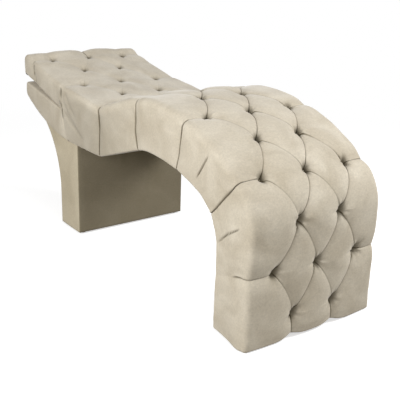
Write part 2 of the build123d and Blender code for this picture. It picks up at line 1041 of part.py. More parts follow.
def headrest_form():
    # the tufted form from the fold to the head end, kept outside the part in hand
    rows = [fold_row + step / stations_per_gap for step in range(2 * stations_per_gap + 1)]
    distances = [-fold_lead] + [headrest_row_at(row) for row in rows]
    sections = [headrest_section(distance, 0) for distance in distances]
    for round_share, fall_share in end_round_shares:
        sections.append(headrest_section(headrest_length - end_round * round_share, fall_share))
    return loft(sections, ruled=True, mode=Mode.PRIVATE)


arm_top = cloth + arm_width
with BuildPart() as headrest_pad:
    add(headrest_form())
    cut_lean()
    board_room = slab_face(0, lower_length - board_setback, -overrun, board_top)
    crosswise(board_room, -leaf_low, leaf_low, mode=Mode.SUBTRACT)
    leaf_room = leaf_low + leaf_board + screw_head_depth + screw_play
    leaf_face = slab_face(0, arm_length + screw_play, -overrun, arm_top + screw_play)
    crosswise(leaf_face, -leaf_room, leaf_room, mode=Mode.SUBTRACT)
    add(hinge_wells(), mode=Mode.SUBTRACT)
    add(button_pockets(headrest_seats), mode=Mode.SUBTRACT)
    add(twine_holes(headrest_seats, 0), mode=Mode.SUBTRACT)
finish(headrest_pad, "headrest_pad")

with BuildPart() as headrest_board:
    board = slab_face(0, lower_length - board_setback, cloth, board_top)
    crosswise(board, -leaf_low, leaf_low)
    cut_lean()
    add(hinge_wells(), mode=Mode.SUBTRACT)
    add(twine_holes(headrest_seats, 0), mode=Mode.SUBTRACT)
    holes = side_rods(leaf_low, moving_screw_places, screw_radius + screw_play, -screw_length)
    add(holes, mode=Mode.SUBTRACT)
finish(headrest_board, "headrest_board")

with BuildPart() as headrest_cloth:
    cloth_half = half_width - side_draw
    crosswise(slab_face(0, lower_length, 0, cloth), -cloth_half, cloth_half)
    cut_lean()
    add(hinge_wells(), mode=Mode.SUBTRACT)
finish(headrest_cloth, "headrest_cloth")

with BuildPart() as headrest_buttons:
    make_buttons(headrest_seats)
finish(headrest_buttons, "headrest_buttons")

with BuildPart() as headrest_twines:
    for plane, length in headrest_seats:
        extrude(disc(plane, twine_radius), amount=-length)
finish(headrest_twines, "headrest_twines")

with BuildPart() as fold_foam:
    add(headrest_form())
    low = pivot_z + foam_lift
    high = fold_z + bed_width
    with BuildSketch() as wedge:
        with BuildLine():
            Polyline(
                (fold_y + soft_gap, low),
                (lean_at(low, soft_gap), low),
                (lean_at(high, soft_gap), high),
                (fold_y + soft_gap, high),
                close=True,
            )
        make_face()
    crosswise(wedge.sketch_local, -half_width, half_width, mode=Mode.INTERSECT)
finish(fold_foam, "fold_foam")


# Hinges of the headrest, each a fixed leaf, a moving leaf, a bolt, a nut and two washers

def hinge_discs(x, radius, depth, hole):
    # a disc about the hinge axis at both sides, with a hole where hole is not zero
    for sign in sides.values():
        with BuildSketch(hinge_plane(x, sign)) as face:
            Circle(radius)
            if hole:
                Circle(hole, mode=Mode.SUBTRACT)
        extrude(face.sketch, amount=depth)


def both_sides(view, low, high):
    for sign in sides.values():
        crosswise(view, sign * low, sign * high)


eye_hole = hinge_bolt_radius + hinge_play
fixed_low = bay_half - leaf_board
moving_high = leaf_low + leaf_board

with BuildPart() as hinge_fixed_leaves:
    with BuildSketch() as leaf:
        with Locations((pivot_y, pivot_z)):
            Circle(eye_radius)
            Rectangle(2 * eye_radius, fixed_arm_length, align=(Align.CENTER, Align.MAX))
            Circle(eye_hole, mode=Mode.SUBTRACT)
        with Locations(*fixed_screw_places):
            Circle(screw_radius + screw_play, mode=Mode.SUBTRACT)
    both_sides(leaf.sketch_local, fixed_low, bay_half)
finish(hinge_fixed_leaves, "hinge_fixed_leaves")

with BuildPart() as hinge_moving_leaves:
    with BuildSketch() as leaf:
        add(slab_face(0, arm_length, cloth, arm_top))
        add(foot_side(), mode=Mode.SUBTRACT)
        with Locations((pivot_y, pivot_z)):
            Circle(eye_radius)
            Circle(eye_hole, mode=Mode.SUBTRACT)
        with Locations(*moving_screw_places):
            Circle(screw_radius + screw_play, mode=Mode.SUBTRACT)
    both_sides(leaf.sketch_local, leaf_low, moving_high)
finish(hinge_moving_leaves, "hinge_moving_leaves")

with BuildPart() as hinge_bolts:
    nut_low = leaf_low - washer_board - hinge_nut_depth
    shank_low = nut_low - hinge_bolt_proud
    hinge_discs(shank_low, hinge_bolt_radius, bay_half - shank_low, 0)
    hinge_discs(bay_half, hinge_head_radius, hinge_head_depth, 0)
finish(hinge_bolts, "hinge_bolts")

with BuildPart() as hinge_nuts:
    for sign in sides.values():
        with BuildSketch(hinge_plane(nut_low, sign)):
            RegularPolygon(hinge_nut_radius, 6)
            Circle(hinge_bolt_radius + thread_play, mode=Mode.SUBTRACT)
        extrude(amount=hinge_nut_depth)
finish(hinge_nuts, "hinge_nuts")

with BuildPart() as hinge_washers:
    hinge_discs(leaf_low - washer_board, washer_radius, washer_board, eye_hole)
    hinge_discs(moving_high, washer_radius, washer_board, eye_hole)
finish(hinge_washers, "hinge_washers")

with BuildPart() as hinge_fixed_screws:
    add(side_rods(fixed_low, fixed_screw_places, screw_head_radius, -screw_head_depth))
    add(side_rods(fixed_low, fixed_screw_places, screw_radius, leaf_board + screw_length))
finish(hinge_fixed_screws, "hinge_fixed_screws")

with BuildPart() as hinge_moving_screws:
    add(side_rods(moving_high, moving_screw_places, screw_head_radius, screw_head_depth))
    add(side_rods(moving_high, moving_screw_places, screw_radius, -leaf_board - screw_length))
finish(hinge_moving_screws, "hinge_moving_screws")
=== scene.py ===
import json
from math import atan2, cos, pi, radians, sin, tan

import bpy
import bmesh
import numpy as np
from mathutils import Matrix, Vector


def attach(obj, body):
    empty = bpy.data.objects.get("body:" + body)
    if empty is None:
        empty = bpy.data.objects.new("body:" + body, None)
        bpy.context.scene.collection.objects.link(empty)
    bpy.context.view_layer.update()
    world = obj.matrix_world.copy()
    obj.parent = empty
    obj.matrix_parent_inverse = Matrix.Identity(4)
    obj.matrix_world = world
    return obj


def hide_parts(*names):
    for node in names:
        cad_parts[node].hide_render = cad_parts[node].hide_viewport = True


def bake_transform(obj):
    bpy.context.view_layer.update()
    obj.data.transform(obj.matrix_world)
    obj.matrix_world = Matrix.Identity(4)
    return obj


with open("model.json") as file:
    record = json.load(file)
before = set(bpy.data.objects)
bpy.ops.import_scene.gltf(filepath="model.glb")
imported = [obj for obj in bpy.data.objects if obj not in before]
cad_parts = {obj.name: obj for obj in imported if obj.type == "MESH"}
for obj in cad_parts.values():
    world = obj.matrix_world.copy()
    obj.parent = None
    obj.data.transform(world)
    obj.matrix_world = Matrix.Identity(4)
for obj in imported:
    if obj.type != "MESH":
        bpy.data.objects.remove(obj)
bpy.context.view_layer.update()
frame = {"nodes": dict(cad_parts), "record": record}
print("frame loaded")


# Runs are (length, 0), bends are (radius, turn in degrees), all in metres from the foot's face up.
bedSide = {
    "footFace": -0.871954,
    "floorGap": 0.010,
    "width": 0.600,
    "topMoves": [(0.410, 0), (0.185, -53.5), (0.900, -36.5), (0.583, -17.2), (0.23496, 0),
                 (0.060, 23.1), (0.33700, 0)],
    "underMoves": [(0.296, 0), (0.200, -69.2), (0.860, -20.8), (0.300, -18.5), (0.28597, 0),
                   (0.150, 18.5), (0.21602, 0), (0.97002, 33)],
    "footDepth": 0.186,
    "hingeY": 0.496353,
    "hingeZ": 0.572964,
    "foldGap": 0.002,          # between the body's top and the headrest's
    "foldBend": 0.025,         # the cloth bends this far to both sides of the fold
    "foldTurn": 5,
    "headrestTop": 0.383297,
    "headEndHeight": 0.07808,
    "headEndTurn": 85.9,
    "headrestUnder": 15,       # heading of the headrest's underside in degrees
    "underLip": 0.004,         # the cloth's last run, on that underside
    "bodyEnd": 0.8795,
    "platformSlope": 10,
    "platformDrop": 0.001,     # from the hinge's axis down to the platform's cloth
}


class SideLine:
    # a line in the side view, read by the distance along it
    def __init__(self, start, heading, moves, step=0.0005):
        y, z = start
        at = [0.0]
        ys, zs, headings = [y], [z], [radians(heading)]
        for size, turn in moves:
            length = abs(size * radians(turn)) if turn else size
            count = max(2, int(length / step))
            now = headings[-1]
            for i in range(count):
                middle = now + radians(turn) * (i + 0.5) / count
                y += cos(middle) * length / count
                z += sin(middle) * length / count
                at.append(at[-1] + length / count)
                ys.append(y)
                zs.append(z)
                headings.append(now + radians(turn) * (i + 1) / count)
        self.at, self.y, self.z, self.heading = map(np.array, (at, ys, zs, headings))
        self.length = at[-1]

    def place(self, distance):
        return (np.interp(distance, self.at, self.y), np.interp(distance, self.at, self.z),
                np.interp(distance, self.at, self.heading))


def smooth(value):
    value = np.clip(value, 0, 1)
    return value * value * (3 - 2 * value)


hemRound = 0.008      # the hem rolls under the foot by this radius
endRound = 0.015      # roll over the head end
lowRound = 0.008      # roll from the head end's face to the underside
foot = bedSide["footFace"]
lineStart = bedSide["floorGap"] + hemRound
topMoves = [(bedSide["topMoves"][0][0] - hemRound, 0)] + bedSide["topMoves"][1:]
bodyTop = SideLine((foot, lineStart), 90, topMoves)
foldGap, foldBend, foldTurn = bedSide["foldGap"], bedSide["foldBend"], bedSide["foldTurn"]
foldAt = bodyTop.length + foldGap
topLine = SideLine((foot, lineStart), 90, topMoves[:-1] + [
    (topMoves[-1][0] - foldBend, 0),
    (2 * foldBend / radians(foldTurn), foldTurn),
    (bedSide["headrestTop"] - (foldBend - foldGap) - endRound, 0),
    (endRound, -90),
    (bedSide["headEndHeight"] - endRound - lowRound, 0),
    (lowRound, -bedSide["headEndTurn"]),
    (bedSide["underLip"], 0)])
underMoves = [(bedSide["underMoves"][0][0] - hemRound, 0)] + bedSide["underMoves"][1:]
underLine = SideLine((foot + bedSide["footDepth"], lineStart), 90, underMoves)
hinge = np.array((bedSide["hingeY"], bedSide["hingeZ"]))
lowerHeading = radians(bedSide["headrestUnder"])
# y only rises along these parts of the lines, so that they can be read by y
topRise = slice(-700, None)
underRise = slice(600, None)


def platformZ(y):
    slope = radians(bedSide["platformSlope"])
    return hinge[1] - bedSide["platformDrop"] / cos(slope) + (y - hinge[0]) * tan(slope)


def underZ(y):
    return np.interp(y, underLine.y[underRise], underLine.z[underRise])


tufting = {
    "columnPitch": 0.097,
    "toeRow": 0.088,
    "legRowsShare": 0.69,
    "creaseAt": 1.57815,
    "foldRowSetback": 0.027,
    "headRowShare": 0.44,
    "headrestRowShares": (0.40, 0.78),
    "crown": 0.012,
    "puff": 0.0070,            # how far a pillow stands over the crown
    "headPuff": 0.0035,
    "endPuff": 0.0060,         # what the head end adds to it
    "pleatDrop": 0.0045,       # how far a pleat lies under the crown
    "headPleatDrop": 0.0010,
    "endPleatDrop": 0.0040,
    "endLift": 0.009,
    "softLineShare": 0.42,     # how much of a pillow's rise the fainter pleats keep
    "pillowReach": 0.084,
    "pleatWidth": 0.0021,
    "grooveDepth": 0.0028,
    "zigzagTip": 0.005,
    "hollowDrop": 0.0120,
    "hollowReach": 0.026,
    "hollowStretch": (1.35, 0.95),     # along and across the sharper pleats
    "coreDrop": 0.0130,
    "coreReach": 0.0150,
    "coreStretch": (1.35, 0.80),
    "headHollow": 0.0130,
    "headHollowReach": 0.0190,
    "buttonShadeReach": 0.0190,     # how far the painted shade reaches round a button
    "pucker": 0.0017,
    "headPucker": 0.0008,
    "unevenness": 0.0010,
    "bow": 0.012,
    "lean": 0.0022,            # how far a pillow leans over the sharper pleat
    "slide": 0.0045,           # how far it leans down over a side pleat
    "slideRows": (1, 3, 5, 7),
    "edgeRound": 0.027,
    "headEdgeRound": 0.014,
    "underRound": 0.009,
    "hemDroop": 0.007,
    "flare": 0.010,            # how far the foot widens to its front edge
    "corner": 0.005,
    "sidePuff": 0.0035,
    "sideLimit": 0.2907,       # the cloth never goes inside this, where the frame starts
    "sideShadePatch": {"share": 0.30, "place": 1.08, "reach": 0.26},    # painted shade: a darker patch on the sides by the seat
    "toeStations": 24,
    "stations": 31,
    "headStations": 22,
    "fineGaps": (1, 4),        # finer where a side has a free fold
    "fineStations": 44,
    "endStations": 44,
    "strip": 22,
    "rollSteps": 9,
    "sideSteps": 30,
}
t = tufting
lastRow = 13
headFrom = 9          # the first row of the head part
headrestFrom = 12     # the first row of the headrest
rowsLength = t["creaseAt"] - t["toeRow"]
legGap = t["legRowsShare"] * rowsLength / 6
seatGap = (1 - t["legRowsShare"]) * rowsLength / 3
foldRowAt = foldAt + hemRound - foldGap - t["foldRowSetback"]
rowPlaces = [t["toeRow"] + r * legGap for r in range(7)]
rowPlaces += [t["creaseAt"] - r * seatGap for r in (2, 1, 0)]
rowPlaces += [t["creaseAt"] + t["headRowShare"] * (foldRowAt - t["creaseAt"]), foldRowAt]
rowPlaces += [foldAt + hemRound + share * bedSide["headrestTop"] for share in t["headrestRowShares"]]
rowPlaces = np.array(rowPlaces) - hemRound
rowGaps = np.diff(rowPlaces)
print("button rows placed", len(rowPlaces))

random = np.random.default_rng(11)
ripples = [(random.uniform(18, 60), random.uniform(18, 60), random.uniform(0, 6.28),
            random.uniform(0.3, 1.0)) for _ in range(14)]


def ripple(s, x):
    # slow unevenness of stuffed cloth, about -1 to 1
    total = 0
    for a, b, phase, share in ripples:
        total = total + share * np.sin(a * s + b * x * (1 if share > 0.6 else -1) + phase)
    return total / 4


def rowCoordinate(s):
    # whole numbers at the rows, from 0 to lastRow, with one more row's length before and after them
    places = np.concatenate(([rowPlaces[0] - legGap], rowPlaces, [rowPlaces[-1] + 0.16]))
    return np.interp(s, places, np.arange(-1, lastRow + 2))


def zigzag(a):
    # 0 in a row of two buttons, 1 in a row of three; the pleats run straight past the end rows
    a = np.clip(a, 0, lastRow)
    return np.abs((a + 1) % 2 - 1)


def oddRowNear(a):
    return np.clip(2 * np.round((a - 1) / 2) + 1, 1, lastRow)


def buttonList():
    found = []
    for r in range(lastRow + 1):
        columns = (-2, 0, 2) if r % 2 else (-1, 1)
        found += [(r, rowPlaces[r], c * t["columnPitch"]) for c in columns]
    return found


buttons = buttonList()
puckers = {(r, round(x, 3)): (random.integers(6, 9), random.uniform(0, 6.28), random.uniform(0.7, 1.2))
           for r, s, x in buttons}


def bodyShare(a):
    # 1 over the legs and the seat, 0 over the head part
    return 1 - smooth((a - 8.2) / 1.4)


def bowAt(s, x):
    # how far the pleats bow to the right between the rows
    a = rowCoordinate(s)
    fade = 1 - smooth((np.abs(x) - 0.20) / 0.07)
    inside = (a > 0) * (a < lastRow)
    return t["bow"] * np.abs(np.sin(pi * a)) * fade * (0.25 + 0.75 * bodyShare(a)) * inside


def rise(distance, reach, power=3.0):
    # how far a pillow has risen at a distance from its pleat
    share = np.clip(distance / reach, 0, 1)
    return 1 - (1 - share) ** power


def bell(distance, width, power=2):
    return np.exp(-(np.abs(distance) / width) ** power)


def pillowShape(a, b):
    # how far the pillows have risen, 0 to 1, and the distances to the sharper, fainter and cross pleats
    pitch = t["columnPitch"]
    reach = t["pillowReach"]
    far = 9
    zig = zigzag(a)
    hem = a < 0
    end = a > lastRow
    outside = np.abs(b) > 1 + zig + 1e-6
    gap = np.interp(a, np.arange(lastRow) + 0.5, rowGaps)
    scale = 0.5 * np.hypot(1 / gap, 1 / pitch)
    u = (a + b - 1) / 2
    v = (a - b - 1) / 2
    softLine = np.abs(u - np.round(u)) / scale       # pleats that run inwards towards the left
    sharpLine = np.abs(v - np.round(v)) / scale      # pleats that run inwards towards the right
    toOuter = np.abs(np.abs(b) - 1 - zig) * pitch
    toCross = np.abs(a - oddRowNear(a)) * gap
    hemLine = np.abs(np.abs(b) - 1) * pitch
    endLine = np.abs(b) * pitch
    # pillows between the zigzags
    soft = rise(np.sqrt(softLine ** 2 + 0.004 ** 2) - 0.004, reach)
    keep = t["softLineShare"] * bodyShare(a)
    inner = rise(sharpLine, reach) * (keep + (1 - keep) * soft)
    # half pillows between the outer buttons and the edge
    isSharp = ((np.floor(a) % 2) == 0) == (b > 0)
    keepOuter = np.where(isSharp, 0, keep)
    outer = (keepOuter + (1 - keepOuter) * rise(toOuter * 0.9, reach)) * rise(toCross, 0.080, 2.6)
    pillow = np.where(outside, outer, inner)
    pillow = np.where(hem, rise(hemLine, reach), pillow)
    # the head end starts with the last row's pillows and turns into two wide ones
    toColumn = np.abs(b - 2 * np.round(b / 2)) / np.hypot(1 / gap, 1 / pitch)
    firstEnd = np.where(outside, 0, rise(toColumn, reach) ** 2)
    endSide = 1 - 0.25 * bell(np.abs(b) - 2, 0.30) * (np.abs(b) < 3)
    fullEnd = rise(endLine, 0.085, 2.0) * endSide
    pillow = np.where(end, firstEnd + (fullEnd - firstEnd) * rise(toCross, 0.055, 2.0), pillow)
    lineNear = np.where(outside, np.where(isSharp, toOuter, far), sharpLine)
    lineNear = np.where(hem, hemLine, np.where(end, endLine, lineNear))
    faintNear = np.where(outside, np.where(isSharp, far, toOuter), softLine)
    faintNear = np.where(hem | end, far, faintNear)
    crossNear = np.where(outside & ~hem, toCross, far)
    return pillow, lineNear, faintNear, crossNear


def nearestButton(s, x):
    # distances to it, two of them stretched along the sharper pleats, and the puckers round it
    slant = atan2(legGap, t["columnPitch"])
    near, core, away = (np.full(np.shape(s), 9.0) for _ in range(3))
    pucker = np.zeros(np.shape(s))
    for r, sb, xb in buttons:
        ds, dx = s - sb, x - xb
        along = dx * cos(slant) + ds * sin(slant)
        square = ds * cos(slant) - dx * sin(slant)
        flat = np.hypot(ds, dx)
        near = np.minimum(near, np.hypot(along / t["hollowStretch"][0], square / t["hollowStretch"][1]))
        core = np.minimum(core, np.hypot(along / t["coreStretch"][0], square / t["coreStretch"][1]))
        away = np.minimum(away, flat)
        folds, phase, strength = puckers[(r, round(xb, 3))]
        amount = t["pucker"] if r < headFrom else t["headPucker"]
        window = bell(flat - 0.021, 0.011) + 0.5 * bell(flat - 0.036, 0.014)
        turn = np.arctan2(ds, dx)
        wave = np.sin(folds * turn + phase) + 0.7 * np.sin(3 * turn + 2 * phase)
        pucker += amount * strength * window * wave
    return near, core, away, pucker


def tuftField(s, x):
    # height over the side line and the mask of painted crease shade at places before the bow
    a = rowCoordinate(s)
    body = bodyShare(a)
    head = 1 - body
    pillow, lineNear, faintNear, crossNear = pillowShape(a, x / t["columnPitch"])
    near, core, away, pucker = nearestButton(s, x)
    hollow = t["hollowDrop"] * bell(near, t["hollowReach"], 1.4)
    hollow = hollow + t["coreDrop"] * bell(core, t["coreReach"], 4)
    headHollow = t["headHollow"] * bell(core, t["headHollowReach"], 1.7) + 0.003 * bell(away, 0.045)
    hollow = hollow * body + headHollow * head
    edge = np.where(a > lastRow, smooth((a - lastRow) / 0.35), 0.0)
    puff = t["headPuff"] + (t["puff"] - t["headPuff"]) * body + t["endPuff"] * edge
    drop = t["headPleatDrop"] + (t["pleatDrop"] - t["headPleatDrop"]) * body + t["endPleatDrop"] * edge
    lift = t["endLift"] * smooth((a - 12.2) / 0.8)
    crown = t["crown"] * (1 - (x / (bedSide["width"] / 2)) ** 2)
    height = crown - drop + (puff + drop) * pillow - hollow + lift
    # the grooves of the pleats, deepest near the buttons
    reachOut = bell(away, 0.052)
    sharp = body * (0.36 + 0.64 * bell(away, 0.05)) + head * (0.22 * reachOut + 0.55 * edge)
    faint = (0.22 + 0.6 * bell(away, 0.045)) * body + 0.10 * head * reachOut
    cross = body * 0.9 + 0.10 * head
    width = t["pleatWidth"]
    groove = sharp * bell(lineNear, width) + faint * bell(faintNear, width)
    groove = groove + cross * bell(crossNear, width)
    height = height - t["grooveDepth"] * groove + pucker + t["unevenness"] * ripple(s, x)
    # painted shade: the pleats' grooves and a patch round each button's core are marked to be darkened
    # in the colour
    mask = np.clip(groove * 1.25, 0, 1) + bell(core, t["buttonShadeReach"], 2.6) * (0.65 + 0.35 * body)
    return height, np.clip(mask, 0, 1)


def grade(count, strength=0.86):
    # places from 0 to 1 that crowd at both ends
    p = np.linspace(0, 1, count + 1)
    return p - strength * np.sin(2 * pi * p) / (2 * pi)


def stationPlaces():
    places = list(np.linspace(0, rowPlaces[0], t["toeStations"] + 1)[:-1])
    for r, (first, last) in enumerate(zip(rowPlaces[:-1], rowPlaces[1:])):
        shares = grade(t["stations"] if r < headFrom else t["headStations"])
        if r in t["fineGaps"]:
            shares = grade(t["fineStations"], 0.70)
        places += list(first + (last - first) * shares[:-1])
    places += list(np.linspace(rowPlaces[-1], topLine.length, t["endStations"]))
    return np.array(places)


stations = stationPlaces()
seamFoot = hinge[0] - 0.060      # where the seam to the platform's cover meets the underside
seamAt = float(np.interp(seamFoot - 0.008, bodyTop.y[topRise], bodyTop.at[topRise]))
for target in (seamAt, foldAt):
    stations[np.argmin(np.abs(stations - target))] = target
stations = np.sort(stations)
seamRing = int(np.argmin(np.abs(stations - seamAt)))
foldRing = int(np.argmin(np.abs(stations - foldAt)))

# how far along the underside the side line of each row ends
underAtRows = [0.110, 0.215, 0.320, 0.428, 0.545, 0.665, 0.790, 0.930, 1.090, 1.255, 1.407]
underSeam = float(np.interp(seamFoot, underLine.y[underRise], underLine.at[underRise]))
underKeys = (np.concatenate(([0], rowPlaces[:11], [seamAt])),
             np.concatenate(([0], np.array(underAtRows) - hemRound, [underSeam])))


def lowerEnd(s):
    # where the side line of a station ends below: y, z and the direction into the body
    if s <= seamAt + 1e-9:
        y, z, heading = underLine.place(np.interp(s, *underKeys))
        return np.array((y, z)), np.array((-sin(heading), cos(heading)))
    if s <= foldAt + 1e-9:
        share = (s - seamAt) / (foldAt - seamAt)
        start = np.array(underLine.place(underSeam)[:2])
        return start + (hinge - start) * share, None
    along = np.array((cos(lowerHeading), sin(lowerHeading)))
    last = topLine.place(topLine.length)
    reach = float(np.dot(np.array(last[:2]) - hinge, along))
    share = min((s - foldAt) / (0.93 * bedSide["headrestTop"] + 0.06), 1)
    return hinge + along * reach * share, np.array((-along[1], along[0]))


# free folds of the sides: the side, 0 for both, the depth, the width, and the path as y from the
# foot's face and z over the hem
sideFolds = [
    (0, 0.0050, 0.0042, [(1.356, 0.657), (1.366, 0.600), (1.352, 0.566)]),
    (0, 0.0030, 0.0035, [(1.352, 0.566), (1.345, 0.461)]),
    (-1, 0.0042, 0.0100, [(1.350, 0.570), (1.262, 0.520), (1.135, 0.462)]),
    (-1, 0.0036, 0.0110, [(1.345, 0.610), (1.290, 0.560), (1.190, 0.490)]),
    (-1, 0.0034, 0.0110, [(1.330, 0.660), (1.270, 0.590), (1.200, 0.535)]),
    (1, 0.0060, 0.0080, [(1.335, 0.560), (1.262, 0.505), (1.160, 0.470)]),
    (1, 0.0050, 0.0085, [(1.330, 0.590), (1.280, 0.560), (1.190, 0.530)]),
    (1, 0.0045, 0.0080, [(1.240, 0.645), (1.180, 0.590), (1.150, 0.500)]),
    (-1, 0.0050, 0.0028, [(0.240, 0.625), (0.275, 0.570), (0.312, 0.518)]),
    (-1, 0.0050, 0.0030, [(0.050, 0.425), (0.115, 0.385), (0.182, 0.328)]),
    (1, 0.0050, 0.0045, [(0.260, 0.600), (0.300, 0.530)]),
    (1, 0.0045, 0.0050, [(0.060, 0.410), (0.165, 0.340)]),
    (0, 0.0035, 0.0040, [(1.649, 0.728), (1.652, 0.671)]),
]


def sideFoldMarks(y, z, sign):
    # how far the folds draw a side inwards at places in the side view, and the mask of their painted
    # shade
    total = np.zeros(np.shape(y))
    mask = np.zeros(np.shape(y))
    yf, zf = y - foot, z - bedSide["floorGap"]
    for side, depth, width, path in sideFolds:
        if side == -sign:
            continue
        points = np.array(path)
        lengths = np.hypot(*np.diff(points, axis=0).T)
        whole = lengths.sum()
        best = np.full(np.shape(y), 9.0)
        along = np.zeros(np.shape(y))
        hand = np.ones(np.shape(y))
        done = 0
        for p, q, length in zip(points[:-1], points[1:], lengths):
            direction = (q - p) / length
            share = np.clip((yf - p[0]) * direction[0] + (zf - p[1]) * direction[1], 0, length)
            dy, dz = yf - p[0] - share * direction[0], zf - p[1] - share * direction[1]
            away = np.hypot(dy, dz)
            closer = away < best
            best = np.where(closer, away, best)
            along = np.where(closer, (done + share) / whole, along)
            hand = np.where(closer, np.sign(direction[0] * dz - direction[1] * dy), hand)
            done += length
        fade = smooth(along / 0.2) * smooth((1 - along) / 0.3)
        if side == 0:
            fade = smooth((1.1 - along) / 0.3)
        lip = 0.5 * bell(best * hand - 1.9 * width, 1.5 * width) * (width < 0.006)
        total += depth * fade * (bell(best, width) - lip)
        sharpness = np.clip(0.0046 / width, 0, 1) ** 2
        # painted shade along the folds
        mask += fade * bell(best, width * 0.8) * sharpness
    return total, np.clip(mask, 0, 1)


# pleats that run down the sides from the outer buttons: strength, and the share of the side they reach
sidePleats = {1: (0.9, 0.42), 3: (1.0, 1.3), 5: (0.9, 1.3), 7: (0.95, 1.3), 9: (1.0, 1.3),
              lastRow: (0.5, 1.2)}


def sidePleatMarks(s, q):
    # q runs from the top edge, 0, to the bottom edge, 1
    total = 0
    mask = 0
    for r, (strength, reach) in sidePleats.items():
        offset = s - rowPlaces[r] + 0.006 * np.sin(pi * q) * (1 if r % 4 == 1 else -1)
        run = strength * smooth((reach - q) / 0.25)
        sharp = bell(offset, 0.0026) * 0.0040
        wide = np.exp(-np.abs(offset) / 0.014) * 0.0030 * (1 - 0.4 * q)
        lip = 0.0022 * bell(offset - 0.007, 0.006)
        total = total + run * (sharp + wide - lip)
        # painted shade along the side pleats
        mask = mask + run * bell(offset, 0.0032, 3)
    return total, np.clip(mask, 0, 1)


def overlap(distance, reach=0.0045):
    # a pillow leans over its pleat most at this reach from it
    share = np.clip(distance / reach, 0, None)
    return share * np.exp(1 - share)


def edgeRoundAt(s):
    full = t["headEdgeRound"] + (t["edgeRound"] - t["headEdgeRound"]) * bodyShare(rowCoordinate(s))
    return max(full * (0.60 + 0.40 * float(smooth(s / 0.06))), t["underRound"])


def endFade(s):
    # how much of the tufted height is left down the head end, and at the hem
    return (1 - 0.6 * smooth((s - (topLine.length - 0.075)) / 0.07)) * (0.85 + 0.15 * smooth(s / 0.03))


